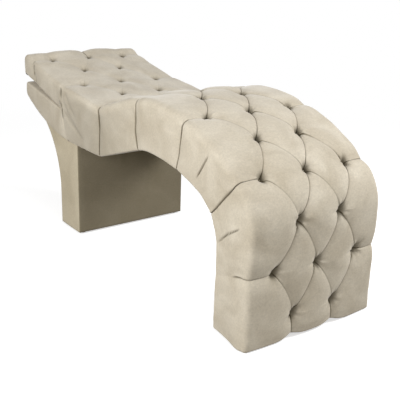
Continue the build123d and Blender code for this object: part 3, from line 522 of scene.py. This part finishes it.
def crossSection(s):
    # a closed ring across the bed: the top, the right side, the underside and the left side
    y, z, heading = topLine.place(s)
    base = np.array((y, z))
    tangent = np.array((cos(heading), sin(heading)))
    normal = np.array((-sin(heading), cos(heading)))
    low, into = lowerEnd(s)
    lowRadius = t["underRound"]
    a = float(rowCoordinate(s))
    body = float(bodyShare(a))
    zig = float(zigzag(a))
    odd = int(oddRowNear(a))
    toRow = s - rowPlaces[odd]
    # places across the top, crowded at the pleats
    pitch, tip = t["columnPitch"], t["zigzagTip"]
    strip = grade(t["strip"])
    inner = pitch * (1 - zig) + tip * (2 * zig - 1)
    outer = pitch * (1 + zig) + tip * (1 - zig)
    radius = edgeRoundAt(s)
    drawn = 0.0025 * float(bell(toRow, 0.03)) if odd in sidePleats else 0
    flare = t["flare"] * (1 - float(smooth((s - 0.28) / 0.30)))
    wall = bedSide["width"] / 2 - 0.001 - drawn + flare
    shoulder = wall - radius
    toShoulder = outer + (shoulder - outer) * strip
    positive = np.concatenate((inner + (outer - inner) * strip[:-1], toShoulder))
    centre = -inner + 2 * inner * strip
    x = np.concatenate((-positive[::-1], centre[1:-1], positive))
    level = np.full(x.shape, s)
    h, mask = tuftField(level, x)
    h = h * endFade(s)
    # the pillow on the left leans over the sharper pleats
    b = x / pitch
    v = (a - b - 1) / 2
    sharpLeft = np.clip((v - np.round(v)) / 6.0, 0, None)
    oddGap = int(np.floor(a)) % 2 == 1
    outerLeft = np.where((b < 0) & oddGap, (np.abs(b) - 1 - zig) * pitch, 0)
    leftOf = np.where(np.abs(b) > 1 + zig, outerLeft, sharpLeft)
    xTop = x + bowAt(level, x) + overlap(leftOf) * t["lean"] * body * (0 < a < lastRow)
    # the pillow over a side pleat leans down over it
    outward = smooth((np.abs(x) - 0.205) / 0.03)
    slide = -t["slide"] * float(overlap(toRow, 0.006)) * body if odd in t["slideRows"] else 0.0
    # the hem rises at the pleats and droops between them
    fromPleat = np.abs(np.abs(b) - 1)
    lowHem = np.where(np.abs(b) > 1, t["hemDroop"], 0.001)
    droop = t["hemDroop"] * bell(fromPleat, 0.33) - lowHem * smooth(fromPleat / 0.9)
    droop = (1 - smooth(s / 0.09)) * droop
    top = np.column_stack((xTop, y + normal[0] * h + tangent[0] * slide * outward,
                           z + normal[1] * h + tangent[1] * slide * outward + droop))

    def flank(sign):
        edge = -1 if sign > 0 else 0
        hEdge, zEdge, maskEdge = h[edge], droop[edge], float(mask[edge])
        # the roll over the top edge
        rows, creaseShade = [], []
        pleatIn, pleatMask = sidePleatMarks(s, 0)
        for k in range(1, t["rollSteps"]):
            share = k / t["rollSteps"]
            angle = pi / 2 * share
            drawIn = float(pleatIn) * sin(angle) * 0.8
            up = hEdge - radius + radius * cos(angle) - drawIn * cos(angle) * 0.4
            place = base + normal * up + tangent * slide * (1 - 0.4 * share)
            rows.append((sign * (shoulder + radius * sin(angle) - drawIn), place[0], place[1] + zEdge))
            creaseShade.append(max(float(pleatMask), maskEdge * (1 - share)))
        # the side itself, along a curve in the side view
        first = base + normal * (hEdge - radius)
        last = low + into * lowRadius if into is not None else low
        gap = np.linalg.norm(last - first)
        leave = into if into is not None else (first - last) / max(gap, 1e-6)
        one = first - normal * gap * 0.33
        two = last + leave * gap * 0.33
        q = np.linspace(0, 1, t["sideSteps"] + 1)[:, None]
        line = ((1 - q) ** 3 * first + 3 * (1 - q) ** 2 * q * one + 3 * (1 - q) * q ** 2 * two
                + q ** 3 * last)
        q = q[:, 0]
        line = line + tangent * (slide * 0.6 * (1 - smooth(q / 0.35)))[:, None]
        bulge = t["sidePuff"] * float(rise(np.array(abs(toRow)), 0.07))
        soft = bulge * np.sin(pi * np.clip(q * 0.9 + 0.1, 0, 1)) * (1 - 0.5 * q)
        corner = smooth(q / 0.12) * (1 - smooth((q - 0.12) / 0.4))
        corner = t["corner"] * (1 - smooth(s / 0.12)) * corner
        pleatIn, pleatMask = sidePleatMarks(s, q)
        foldIn, foldMask = sideFoldMarks(line[:, 0], line[:, 1], sign)
        waves = 0.0008 * ripple(s * 1.3, 2 * line[:, 1] + sign)
        xSide = wall - flare * smooth(q / 0.9) + soft + corner - pleatIn - foldIn + waves
        xSide = wall + (xSide - wall) * min(gap / 0.03, 1)
        xSide = np.maximum(xSide, t["sideLimit"])
        for px, (py, pz), share in zip(xSide, line, q):
            rows.append((sign * px, py, pz + zEdge * (1 - share)))
        # painted shade: the side pleats' and folds' marks and a darker patch by the seat
        patch = t["sideShadePatch"]
        sideShadePatch = patch["share"] * bell(line[:, 0] - foot - patch["place"], patch["reach"])
        sideMask = list(np.clip(np.maximum(pleatMask, foldMask) + sideShadePatch * smooth(q / 0.15), 0, 1))
        # the roll to the underside
        floorWay = into if into is not None else np.array((0, 1.0))
        lowRows = []
        for k in range(1, 4):
            angle = pi / 2 * k / 4
            place = low + floorWay * (lowRadius - lowRadius * sin(angle))
            lowRows.append((sign * (xSide[-1] - lowRadius * (1 - cos(angle))), place[0], place[1]))
        creaseShade += sideMask + [sideMask[-1] * 0.5] * len(lowRows)
        return rows, lowRows, sign * (xSide[-1] - lowRadius), creaseShade

    right, lowRight, xRight, creaseShadeRight = flank(1)
    left, lowLeft, xLeft, creaseShadeLeft = flank(-1)
    under = [(px, low[0], low[1]) for px in np.linspace(xRight, xLeft, 13)]
    ring = [tuple(p) for p in top] + right + lowRight + under + lowLeft[::-1] + left[::-1]
    # painted shade for each vertex, none under the bed
    creaseShade = list(mask) + creaseShadeRight + [0.0] * len(under) + creaseShadeLeft[::-1]
    openFrom = len(top) + len(right) - 1
    return ring, creaseShade, openFrom, openFrom + len(lowRight + under + lowLeft) + 1


def band(here, there, columns):
    # the faces between two closed rings, which are given by their first vertices
    pairs = [(c, (c + 1) % columns) for c in range(columns)]
    return [(here + c, here + n, there + n, there + c) for c, n in pairs]


def ringFaces(count, columns, isOpen=None):
    # a skin over all rings, without the faces that are to stay open
    faces = []
    for i in range(count - 1):
        row = band(i * columns, (i + 1) * columns, columns)
        faces += [face for c, face in enumerate(row) if not (isOpen and isOpen(i, c))]
    return faces


def hemLoops(ring):
    # the first ring rolls under the foot
    following = np.roll(ring, -1, axis=0) - np.roll(ring, 1, axis=0)
    outward = np.column_stack((following[:, 1], -following[:, 0]))
    outward /= np.maximum(np.linalg.norm(outward, axis=1), 1e-9)[:, None]
    middle = (ring[:, :2].max(axis=0) + ring[:, :2].min(axis=0)) / 2
    if np.sum(outward * (ring[:, :2] - middle)) < 0:
        outward = -outward
    turns = [(hemRound * (1 - cos(f)), hemRound * sin(f)) for f in (0.45, 0.9, 1.3)]
    loops = []
    for inset, drop in turns + [(0.012, hemRound), (0.022, hemRound)]:
        loop = ring.copy()
        loop[:, :2] -= outward * inset
        loop[:, 2] -= drop
        loops.append(loop)
    return loops


def makeTuftedCover():
    sections = [crossSection(s) for s in stations]
    rings = np.array([section[0] for section in sections])
    creaseShades = np.array([section[1] for section in sections])
    openFrom, openTo = sections[-1][2:]
    count, columns = rings.shape[:2]

    def isOpen(i, c):
        return seamRing <= i < foldRing and openFrom <= c < openTo

    faces = ringFaces(count, columns, isOpen)
    loops = hemLoops(rings[0])
    above, below = 0, count * columns
    for _ in loops:
        faces += band(below, above, columns)
        above, below = below, below + columns
    vertices = np.concatenate([rings.reshape(-1, 3)] + loops)
    return vertices, faces, np.concatenate([creaseShades.reshape(-1)] + [creaseShades[0]] * len(loops))


def addObject(name, data):
    made = bpy.data.objects.new(name, data)
    bpy.context.scene.collection.objects.link(made)
    return made


def meshObject(name, vertices, faces, creaseShade=None):
    mesh = bpy.data.meshes.new(name)
    used = np.unique([corner for face in faces for corner in face])
    remap = np.full(len(vertices), -1)
    remap[used] = np.arange(len(used))
    mesh.from_pydata([tuple(p) for p in vertices[used]], [], [tuple(remap[list(f)]) for f in faces])
    # this attribute carries the painted shade into the material
    layer = mesh.attributes.new("creaseShade", "FLOAT", "POINT")
    layer.data.foreach_set("value", np.zeros(len(used)) if creaseShade is None else np.asarray(creaseShade)[used])
    mesh.update()
    bm = bmesh.new()
    bm.from_mesh(mesh)
    bmesh.ops.remove_doubles(bm, verts=bm.verts, dist=0.00005)
    bmesh.ops.dissolve_degenerate(bm, dist=0.00001, edges=bm.edges)
    bmesh.ops.recalc_face_normals(bm, faces=bm.faces)
    bm.to_mesh(mesh)
    bm.free()
    for polygon in mesh.polygons:
        polygon.use_smooth = True
    return addObject(name, mesh)


print("making the tufted cover")
coverVertices, coverFaces, coverCreaseShade = makeTuftedCover()
tuftedCover = meshObject("tuftedCover", coverVertices, coverFaces, coverCreaseShade)
print("tufted cover", len(tuftedCover.data.polygons))


platform = {"round": 0.009, "levels": 20, "across": 12, "puff": 0.002, "endPuff": 0.0015,
            "seamRings": 21, "rings": 80, "endRings": 5}


def makePlatformCover():
    p = platform
    half = bedSide["width"] / 2 - 0.001
    straightEnd = bedSide["bodyEnd"] - p["round"]
    seamZ = float(underZ(seamFoot))
    ys = np.concatenate((np.linspace(seamFoot - 0.004, hinge[0], p["seamRings"] + 1)[:-1],
                         np.linspace(hinge[0], straightEnd, p["rings"])))
    levels = np.linspace(0, 1, p["levels"] + 1)
    rings = []
    for i in range(len(ys) + p["endRings"]):
        angle = pi / 2 * max(i - len(ys) + 1, 0) / p["endRings"]
        y = ys[i] if i < len(ys) else straightEnd + p["round"] * sin(angle)
        inset = p["round"] * (1 - cos(angle))
        zLow = float(underZ(y)) + inset
        if y < hinge[0]:
            share = (y - seamFoot) / (hinge[0] - seamFoot)
            zHigh = seamZ + (hinge[1] - seamZ) * max(share, 0) + 0.006
        else:
            zHigh = float(platformZ(y)) - inset
        zHigh = max(zHigh, zLow + 0.002)
        r = min(p["round"], (zHigh - zLow) * 0.4)
        tuck = 0.0006 if y < hinge[0] + 0.002 else 0.0
        sides, edges = {}, {}
        for sign in (1, -1):
            zSide = (zHigh - r) + (zLow + r - zHigh + r) * levels
            soft = p["puff"] * np.sin(pi * levels) * smooth((y - hinge[0]) / 0.05)
            folds = sideFoldMarks(np.full(zSide.shape, y), zSide, sign)[0]
            folds = folds * (0.7 if y > hinge[0] else 1)
            xSide = half - tuck - inset + soft - folds + 0.0005 * ripple(y * 1.7, zSide * 2 + sign)
            upper = [(xSide[0] - r * (1 - cos(f)), zHigh - r + r * sin(f)) for f in (1.0, 0.5)]
            lower = [(xSide[-1] - r * (1 - cos(f)), zLow + r - r * sin(f)) for f in (0.5, 1.0)]
            outline = upper + list(zip(xSide, zSide)) + lower
            sides[sign] = [(sign * px, y, pz) for px, pz in outline]
            edges[sign] = sign * (xSide[0] - r), sign * (xSide[-1] - r)
        top = [(px, y, zHigh) for px in np.linspace(edges[-1][0], edges[1][0], p["across"] + 1)]
        low = [(px, y, zLow) for px in np.linspace(edges[1][1], edges[-1][1], p["across"] + 1)]
        rings.append(top + sides[1] + low + sides[-1][::-1])
    rings = np.array(rings)
    count, columns = rings.shape[:2]
    acrossCount = p["across"] + 1
    sideCount = len(sides[1])

    def isOpen(i, c):
        # the seam's strip has no top, because the tufted cover lies there
        return i < p["seamRings"] and (c < acrossCount + 1 or c >= columns - 2)

    faces = ringFaces(count, columns, isOpen)
    # the end face, a grid between the last ring's top, sides and bottom
    rightRow = rings[-1][acrossCount:acrossCount + sideCount]
    leftRow = rings[-1][2 * acrossCount + sideCount:][::-1]
    mix = np.linspace(0, 1, acrossCount + 2)[:, None]
    grid = []
    for j in range(sideCount):
        line = leftRow[j] + (rightRow[j] - leftRow[j]) * mix
        puff = p["endPuff"] * np.sin(pi * mix[:, 0]) * np.sin(pi * (j + 1) / (sideCount + 1))
        line[:, 1] += puff
        grid.append(line)
    start = count * columns
    width = acrossCount + 2
    for j in range(sideCount - 1):
        for c in range(width - 1):
            a = start + j * width + c
            faces.append((a, a + 1, a + width + 1, a + width))
    lastStart = start - columns
    lowStart = start + (sideCount - 1) * width
    lowLeft = lastStart + 2 * acrossCount + sideCount - 1
    for c in range(acrossCount - 1):
        faces.append((lastStart + c, lastStart + c + 1, start + c + 2, start + c + 1))
        low = lowLeft - c
        a = lowStart + c + 1
        faces.append((a, a + 1, low - 1, low))
    faces.append((lastStart, start + 1, start))
    faces.append((lastStart + acrossCount - 1, start + width - 1, start + width - 2))
    faces.append((lowStart, lowStart + 1, lowLeft))
    faces.append((lowStart + width - 1, lowStart + width - 2, lastStart + acrossCount + sideCount))
    return np.concatenate([rings.reshape(-1, 3)] + grid), faces


platformVertices, platformFaces = makePlatformCover()
platformCover = meshObject("platformCover", platformVertices, platformFaces)
print("platform cover", len(platformCover.data.polygons))


pedestal = {
    "front": 0.360362, "depth": 0.188, "half": 0.287, "flareHeight": 0.160, "flareRadius": 0.400,
    "flareTurn": 65, "round": 0.005, "levels": 40, "sideSteps": 24, "across": 24,
    "tuck": 0.004,             # how far the cloth runs up into the body
    "frontPuff": 0.0015, "sidePuff": 0.001,
    "stripWidth": 0.030,       # the front's cloth comes round the sides by this much
    "stripGroove": 0.0012, "stripGrooveWidth": 0.0022,
    "frontShade": 0.74,        # painted shade: the front, in the shade of the bed above, is darkened by this share
}


def makePedestalCover():
    p = pedestal
    floor = bedSide["floorGap"]
    front, half, r = p["front"], p["half"], p["round"]
    backLine = SideLine((front + p["depth"], floor), 90,
                        [(p["flareHeight"], 0), (p["flareRadius"], -p["flareTurn"]), (0.05, 0)])
    hit = np.argmax(backLine.z > underZ(backLine.y) + p["tuck"])
    frontTop = float(underZ(front)) + p["tuck"]
    across = np.linspace(-1, 1, p["across"] + 1)
    steps = np.linspace(0, 1, p["sideSteps"] + 1)
    rings = []
    for q in np.linspace(0, 1, p["levels"] + 1):
        backY, backZ, _ = backLine.place(backLine.at[hit] * q)
        frontZ = floor + (frontTop - floor) * q
        rs = min(r / (backY - front), 0.3)

        def spot(x, c):
            # c runs from the front, 0, to the back, 1; the upper rings come to follow the underside
            underside = float(underZ(front + (backLine.y[hit] - front) * c)) + p["tuck"]
            lift = underside - (frontTop + (backLine.z[hit] - frontTop) * c)
            return x, front + (backY - front) * c, frontZ + (backZ - frontZ) * c + lift * q ** 6

        frontRow = []
        for xShare in across:
            x, y, z = spot(xShare * (half - r), 0)
            frontRow.append((x, y - p["frontPuff"] * np.sin(pi * q) * (1 - xShare ** 2), z))
        flank = [spot(half - r + r * sin(f), rs * (1 - cos(f))) for f in (0.5, 1.0)]
        for c in rs + (1 - 2 * rs) * steps:
            x, y, z = spot(half + p["sidePuff"] * sin(pi * c), c)
            groove = p["stripGroove"] * bell(y - front - p["stripWidth"], p["stripGrooveWidth"])
            flank.append((x - groove, y, z))
        flank += [spot(half - r + r * cos(f), 1 - rs * (1 - sin(f))) for f in (0.5, 1.0)]
        backRow = [spot(xShare * (half - r), 1) for xShare in across[::-1]]
        rings.append(frontRow + flank + backRow + [(-x, y, z) for x, y, z in flank[::-1]])
    # the cloth turns under the pedestal
    wraps = []
    for inset, drop in ((0.016, 0.0006), (0.0004, 0.0004)):
        loop = np.array(rings[0])
        loop[:, 0] -= np.sign(loop[:, 0]) * np.minimum(np.abs(loop[:, 0]), inset)
        loop[:, 1] += np.clip(front + p["depth"] / 2 - loop[:, 1], -inset, inset)
        loop[:, 2] -= drop
        wraps.append(loop)
    rings = np.concatenate((wraps, rings))
    return rings.reshape(-1, 3), ringFaces(*rings.shape[:2])


pedestalVertices, pedestalFaces = makePedestalCover()
# painted shade on the pedestal's front, carried in the crease attribute
onFront = smooth((pedestal["front"] + 0.004 - pedestalVertices[:, 1]) / 0.002)
frontShade = pedestal["frontShade"] * onFront
pedestalCover = meshObject("pedestalCover", pedestalVertices, pedestalFaces, frontShade)
print("pedestal cover", len(pedestalCover.data.polygons))


button = {"radius": 0.0105, "flatness": 0.52, "lift": 0.0045, "headLift": 0.0018}


def makeButton():
    bpy.ops.object.select_all(action="DESELECT")
    bpy.ops.mesh.primitive_uv_sphere_add(segments=24, ring_count=12, radius=button["radius"])
    made = bpy.context.object
    made.scale = (1, 1, button["flatness"])
    bpy.ops.object.transform_apply(location=False, rotation=False, scale=True)
    bpy.ops.object.shade_smooth()
    return made


def placeButtons(name, chosen):
    master = makeButton()
    source = np.array([v.co for v in master.data.vertices])
    polygons = [tuple(f.vertices) for f in master.data.polygons]
    bpy.data.objects.remove(master)
    vertices, faces = [], []
    for r, s, x in chosen:
        y, z, heading = topLine.place(s)
        h = float(tuftField(np.array([s]), np.array([x]))[0][0])
        h += button["lift"] if r < headFrom else button["headLift"]
        normal = np.array((0, -sin(heading), cos(heading)))
        along = np.array((0, cos(heading), sin(heading)))
        origin = np.array((x, y, z)) + normal * h
        points = source[:, :1] * (1, 0, 0) + source[:, 1:2] * along + source[:, 2:] * normal + origin
        faces += [tuple(i + len(vertices) * len(source) for i in f) for f in polygons]
        vertices.append(points)
    return meshObject(name, np.concatenate(vertices), faces)


bodyButtons = placeButtons("bodyButtons", [b for b in buttons if b[0] < headrestFrom])
headrestButtons = placeButtons("headrestButtons", [b for b in buttons if b[0] >= headrestFrom])
print("buttons placed")


def newMaterial(name):
    made = bpy.data.materials.new(name)
    made.use_nodes = True
    nodes = made.node_tree.nodes
    place = nodes.new("ShaderNodeTexCoord").outputs["Object"]
    return made, nodes, made.node_tree.links, nodes["Principled BSDF"], place


def newGroup(name, inputs, outputs):
    tree = bpy.data.node_groups.new(name, "ShaderNodeTree")
    for label, kind in inputs:
        tree.interface.new_socket(name=label, in_out="INPUT", socket_type=kind)
    for label, kind in outputs:
        tree.interface.new_socket(name=label, in_out="OUTPUT", socket_type=kind)
    enter, leave = tree.nodes.new("NodeGroupInput"), tree.nodes.new("NodeGroupOutput")
    return tree, tree.nodes, tree.links, enter, leave


def setInputs(node, values):
    for label, value in values.items():
        node.inputs[label].default_value = value


def useGroup(nodes, tree, place, values):
    node = nodes.new("ShaderNodeGroup")
    node.node_tree = tree
    setInputs(node, values)
    node.id_data.links.new(place, node.inputs["Place"])
    return node


def addNoise(nodes, links, vector, scale, detail, distortion=0.0):
    noise = nodes.new("ShaderNodeTexNoise")
    setInputs(noise, {"Scale": scale, "Detail": detail, "Distortion": distortion})
    links.new(vector, noise.inputs["Vector"])
    return noise.outputs["Fac"]


def addSpread(nodes, links, value, low, high, fromLow=0.3, fromHigh=0.7):
    spread = nodes.new("ShaderNodeMapRange")
    setInputs(spread, {"From Min": fromLow, "From Max": fromHigh, "To Min": low, "To Max": high})
    links.new(value, spread.inputs["Value"])
    return spread.outputs["Result"]


def addMath(nodes, links, operation, first, second):
    made = nodes.new("ShaderNodeMath")
    made.operation = operation
    links.new(first, made.inputs[0])
    links.new(second, made.inputs[1])
    return made.outputs[0]


def addMix(nodes, links, factor, first, second, blend="MIX"):
    mix = nodes.new("ShaderNodeMix")
    mix.data_type = "RGBA"
    mix.blend_type = blend
    for socket, value in ((0, factor), (6, first), (7, second)):
        if isinstance(value, (float, int, tuple)):
            mix.inputs[socket].default_value = value
        else:
            links.new(value, mix.inputs[socket])
    return mix.outputs[2]


def addStretch(nodes, links, vector, scale):
    mapping = nodes.new("ShaderNodeMapping")
    mapping.inputs["Scale"].default_value = scale
    links.new(vector, mapping.inputs["Vector"])
    return mapping.outputs["Vector"]


def addBump(nodes, links, shader, height, strength, distance):
    bump = nodes.new("ShaderNodeBump")
    setInputs(bump, {"Strength": strength, "Distance": distance})
    links.new(height, bump.inputs["Height"])
    links.new(bump.outputs["Normal"], shader.inputs["Normal"])


def makeNapGroup():
    # brushed patches, fine streaks across the bed and the nap itself
    tree, nodes, links, enter, leave = newGroup(
        "brushedNap", [("Place", "NodeSocketVector")],
        [("Patches", "NodeSocketFloat"), ("Mottle", "NodeSocketFloat"), ("Streaks", "NodeSocketFloat"),
         ("Nap", "NodeSocketFloat")])
    place = enter.outputs["Place"]
    links.new(addNoise(nodes, links, place, 7.0, 6, 0.8), leave.inputs["Patches"])
    links.new(addNoise(nodes, links, place, 150.0, 5, 0.4), leave.inputs["Mottle"])
    stretched = addStretch(nodes, links, place, (70, 330, 330))
    links.new(addNoise(nodes, links, stretched, 1.0, 4), leave.inputs["Streaks"])
    links.new(addNoise(nodes, links, place, 850, 3), leave.inputs["Nap"])
    return tree


def makeGrainGroup():
    # grain drawn out by a stretch, as on wood, brushed metal and moulded plastic
    tree, nodes, links, enter, leave = newGroup(
        "drawnGrain", [("Place", "NodeSocketVector"), ("Stretch", "NodeSocketVector")],
        [("Grain", "NodeSocketFloat")])
    scaled = nodes.new("ShaderNodeVectorMath")
    scaled.operation = "MULTIPLY"
    links.new(enter.outputs["Place"], scaled.inputs[0])
    links.new(enter.outputs["Stretch"], scaled.inputs[1])
    links.new(addNoise(nodes, links, scaled.outputs["Vector"], 1.0, 5), leave.inputs["Grain"])
    return tree


napGroup = makeNapGroup()
grainGroup = makeGrainGroup()

suede = {
    "shade": (0.515, 0.452, 0.348, 1), "light": (0.665, 0.603, 0.492, 1),
    "streakLow": 0.92, "streakHigh": 1.05, "mottleLow": 0.92, "mottleHigh": 1.06,
    # the crease tint and share paint shade into pleats, folds, the buttons' hollows and the pedestal's
    # front
    "creaseShadeTint": (0.085, 0.068, 0.036, 1), "creaseShadeShare": 0.92,
    "roughness": 0.90, "specular": 0.20, "sheen": 0.34, "sheenRoughness": 0.40,
    "bump": 0.15, "napHeight": 0.0006,
}
# painted shade: a more olive, slightly darker copy of the suede with less sheen for the pedestal, which
# stands in shade under the bed
shadedPedestalLook = {**suede, "shade": (0.52, 0.45, 0.32, 1), "light": (0.64, 0.565, 0.42, 1), "sheen": 0.25}
# painted shade: the buttons are of the same cloth, darkened because they sit in shade in their hollows
shadedButtonLook = {**suede, "shade": (0.14, 0.115, 0.070, 1), "light": (0.18, 0.15, 0.095, 1), "sheen": 0.05}


def makeSuede(name, look):
    material, nodes, links, shader, place = newMaterial(name)
    nap = useGroup(nodes, napGroup, place, {})
    patches = addMix(nodes, links, addSpread(nodes, links, nap.outputs["Patches"], 0, 1),
                     look["shade"], look["light"])
    tone = addSpread(nodes, links, nap.outputs["Streaks"], look["streakLow"], look["streakHigh"])
    mottle = addSpread(nodes, links, nap.outputs["Mottle"], look["mottleLow"], look["mottleHigh"])
    mottled = addMix(nodes, links, 1.0, patches, mottle, "MULTIPLY")
    streaked = addMix(nodes, links, 0.6, mottled, tone, "MULTIPLY")
    # painted shade: the crease attribute darkens the colour towards the crease tint
    creaseShade = nodes.new("ShaderNodeAttribute")
    creaseShade.attribute_name = "creaseShade"
    depth = addSpread(nodes, links, creaseShade.outputs["Fac"], 0, look["creaseShadeShare"], 0, 1)
    links.new(addMix(nodes, links, depth, streaked, look["creaseShadeTint"]), shader.inputs["Base Color"])
    setInputs(shader, {"Roughness": look["roughness"], "Specular IOR Level": look["specular"],
                       "Sheen Weight": look["sheen"], "Sheen Roughness": look["sheenRoughness"]})
    addBump(nodes, links, shader, nap.outputs["Nap"], look["bump"], look["napHeight"])
    return material


coverSuede = makeSuede("beigeSuede", suede)
shadedBaseSuede = makeSuede("pedestalShadedSuede", shadedPedestalLook)
shadedButtonSuede = makeSuede("shadedButtonSuede", shadedButtonLook)


def makePlain(name, colour, roughness, stretch, metal=0.0, amount=0.12):
    material, nodes, links, shader, place = newMaterial(name)
    grain = useGroup(nodes, grainGroup, place, {"Stretch": stretch}).outputs["Grain"]
    dark = tuple(c * (1 - amount) for c in colour) + (1,)
    pale = tuple(min(c * (1 + amount), 1) for c in colour) + (1,)
    links.new(addMix(nodes, links, grain, dark, pale), shader.inputs["Base Color"])
    rough = addSpread(nodes, links, grain, roughness * 0.85, min(roughness * 1.15, 1), 0, 1)
    links.new(rough, shader.inputs["Roughness"])
    shader.inputs["Metallic"].default_value = metal
    addBump(nodes, links, shader, grain, 0.15, 0.0005)
    return material


finishes = {
    "plywood": makePlain("birchPlywood", (0.50, 0.34, 0.18), 0.6, (30, 180, 360), amount=0.2),
    "softwood": makePlain("sawnPine", (0.58, 0.41, 0.21), 0.7, (25, 200, 200), amount=0.25),
    "steel": makePlain("zincSteel", (0.55, 0.55, 0.53), 0.35, (120, 120, 120), metal=1.0),
    "glide": makePlain("darkGlide", (0.018, 0.018, 0.018), 0.45, (200, 200, 200)),
    "twine": makePlain("waxedTwine", (0.66, 0.62, 0.5), 0.8, (400, 400, 400)),
    "cover": coverSuede, "foam": coverSuede, "button": shadedButtonSuede,
}
for row in frame["record"]["subparts"]:
    node = frame["nodes"][row["node"]]
    node.data.materials.clear()
    node.data.materials.append(finishes[row["material_slot"]])
for piece in (tuftedCover, platformCover):
    piece.data.materials.append(coverSuede)
pedestalCover.data.materials.append(shadedBaseSuede)
for piece in (bodyButtons, headrestButtons):
    piece.data.materials.append(shadedButtonSuede)
print("materials set")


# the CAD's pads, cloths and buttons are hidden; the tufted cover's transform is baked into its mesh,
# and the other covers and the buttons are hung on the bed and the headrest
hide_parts("body_pad", "side_pad_left", "side_pad_right", "fold_foam", "headrest_pad",
            "headrest_cloth", "under_cloth")
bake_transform(tuftedCover)
stretched = ((platformCover, "platform_cover", "cover"), (pedestalCover, "base_cover", "cover"))
for piece, node, slotName in stretched:
    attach(piece, "bed")
    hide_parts(node)
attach(bodyButtons, "bed")
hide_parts("body_buttons")
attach(headrestButtons, "headrest")
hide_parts("headrest_buttons")


view = {
    "place": (-1.67492, -1.56684 + foot, 1.26342 + bedSide["floorGap"]),
    "pitch": 0.33796, "yaw": 0.63960, "roll": 0.03352, "focal": 708.84,
}


def makeCamera():
    v = view
    level = cos(v["pitch"])
    forward = Vector((sin(v["yaw"]) * level, cos(v["yaw"]) * level, -sin(v["pitch"])))
    right = Vector((cos(v["yaw"]), -sin(v["yaw"]), 0))
    up = right.cross(forward)
    rolledRight = right * cos(v["roll"]) + up * sin(v["roll"])
    rolledUp = up * cos(v["roll"]) - right * sin(v["roll"])
    data = bpy.data.cameras.new("photoCamera")
    data.sensor_width = 36
    data.lens = v["focal"] / 400 * 36
    data.clip_end = 200
    camera = addObject("photoCamera", data)
    turn = Matrix((rolledRight, rolledUp, -forward)).transposed().to_4x4()
    camera.matrix_world = Matrix.Translation(v["place"]) @ turn
    bpy.context.scene.camera = camera


makeCamera()


def addSeen(nodes, links):
    # 1 for what the camera, a reflection or glass looks at, 0 for light that falls on the bed
    path = nodes.new("ShaderNodeLightPath")
    seen = path.outputs["Is Camera Ray"]
    for ray in ("Is Glossy Ray", "Is Transmission Ray"):
        seen = addMath(nodes, links, "MAXIMUM", seen, path.outputs[ray])
    return seen


studio = {
    "floorSeen": (0.80, 0.80, 0.80, 1), "floorBounce": (0.22, 0.205, 0.175, 1),
    "glowNear": 0.58, "glowFar": 1.0, "nearRadius": 1.1, "farRadius": 3.2,
    "sky": 0.32,
    "lamps": {
        "sideLamp": {"place": (-2.70, -0.75, 1.45), "aim": (0, -0.1, 0.4), "size": 1.5, "power": 66},
        "frontLamp": {"place": (-0.60, -4.00, 1.50), "aim": (0, -0.6, 0.3), "size": 1.4, "power": 18},
        "rightLamp": {"place": (2.20, -1.90, 2.25), "aim": (0, -0.35, 0.7), "size": 1.2, "power": 78},
    },
}


def makeFloor():
    bpy.ops.object.select_all(action="DESELECT")
    bpy.ops.mesh.primitive_plane_add(size=120, location=(0, 0, 0))
    floor = bpy.context.object
    floor.name = "floor"
    material, nodes, links, shader, place = newMaterial("paleFloor")
    seen = addSeen(nodes, links)
    distance = nodes.new("ShaderNodeVectorMath")
    distance.operation = "LENGTH"
    links.new(place, distance.inputs[0])
    spread = studio["nearRadius"], studio["farRadius"]
    far = addSpread(nodes, links, distance.outputs["Value"], 0, 1, *spread)
    painted = addMix(nodes, links, far, studio["floorSeen"], (0.0, 0.0, 0.0, 1))
    links.new(addMix(nodes, links, seen, studio["floorBounce"], painted), shader.inputs["Base Color"])
    setInputs(shader, {"Roughness": 0.95, "Specular IOR Level": 0.0, "Emission Color": (1, 1, 1, 1)})
    glow = addSpread(nodes, links, far, studio["glowNear"], studio["glowFar"], 0, 1)
    links.new(addMath(nodes, links, "MULTIPLY", seen, glow), shader.inputs["Emission Strength"])
    floor.data.materials.append(material)


def makeWorld():
    world = bpy.data.worlds.new("studio")
    bpy.context.scene.world = world
    world.use_nodes = True
    nodes, links = world.node_tree.nodes, world.node_tree.links
    background = nodes["Background"]
    background.inputs["Color"].default_value = (1, 1, 1, 1)
    strength = addSpread(nodes, links, addSeen(nodes, links), studio["sky"], 1.0, 0, 1)
    links.new(strength, background.inputs["Strength"])


def makeLamps():
    for name, lamp in studio["lamps"].items():
        data = bpy.data.lights.new(name, "AREA")
        data.shape = "DISK"
        data.size = lamp["size"]
        data.energy = lamp["power"]
        made = addObject(name, data)
        made.location = lamp["place"]
        way = Vector(lamp["aim"]) - Vector(lamp["place"])
        made.rotation_euler = way.to_track_quat("-Z", "Y").to_euler()


makeFloor()
makeWorld()
makeLamps()

bpy.context.scene.view_settings.view_transform = "Standard"
print("scene finished")
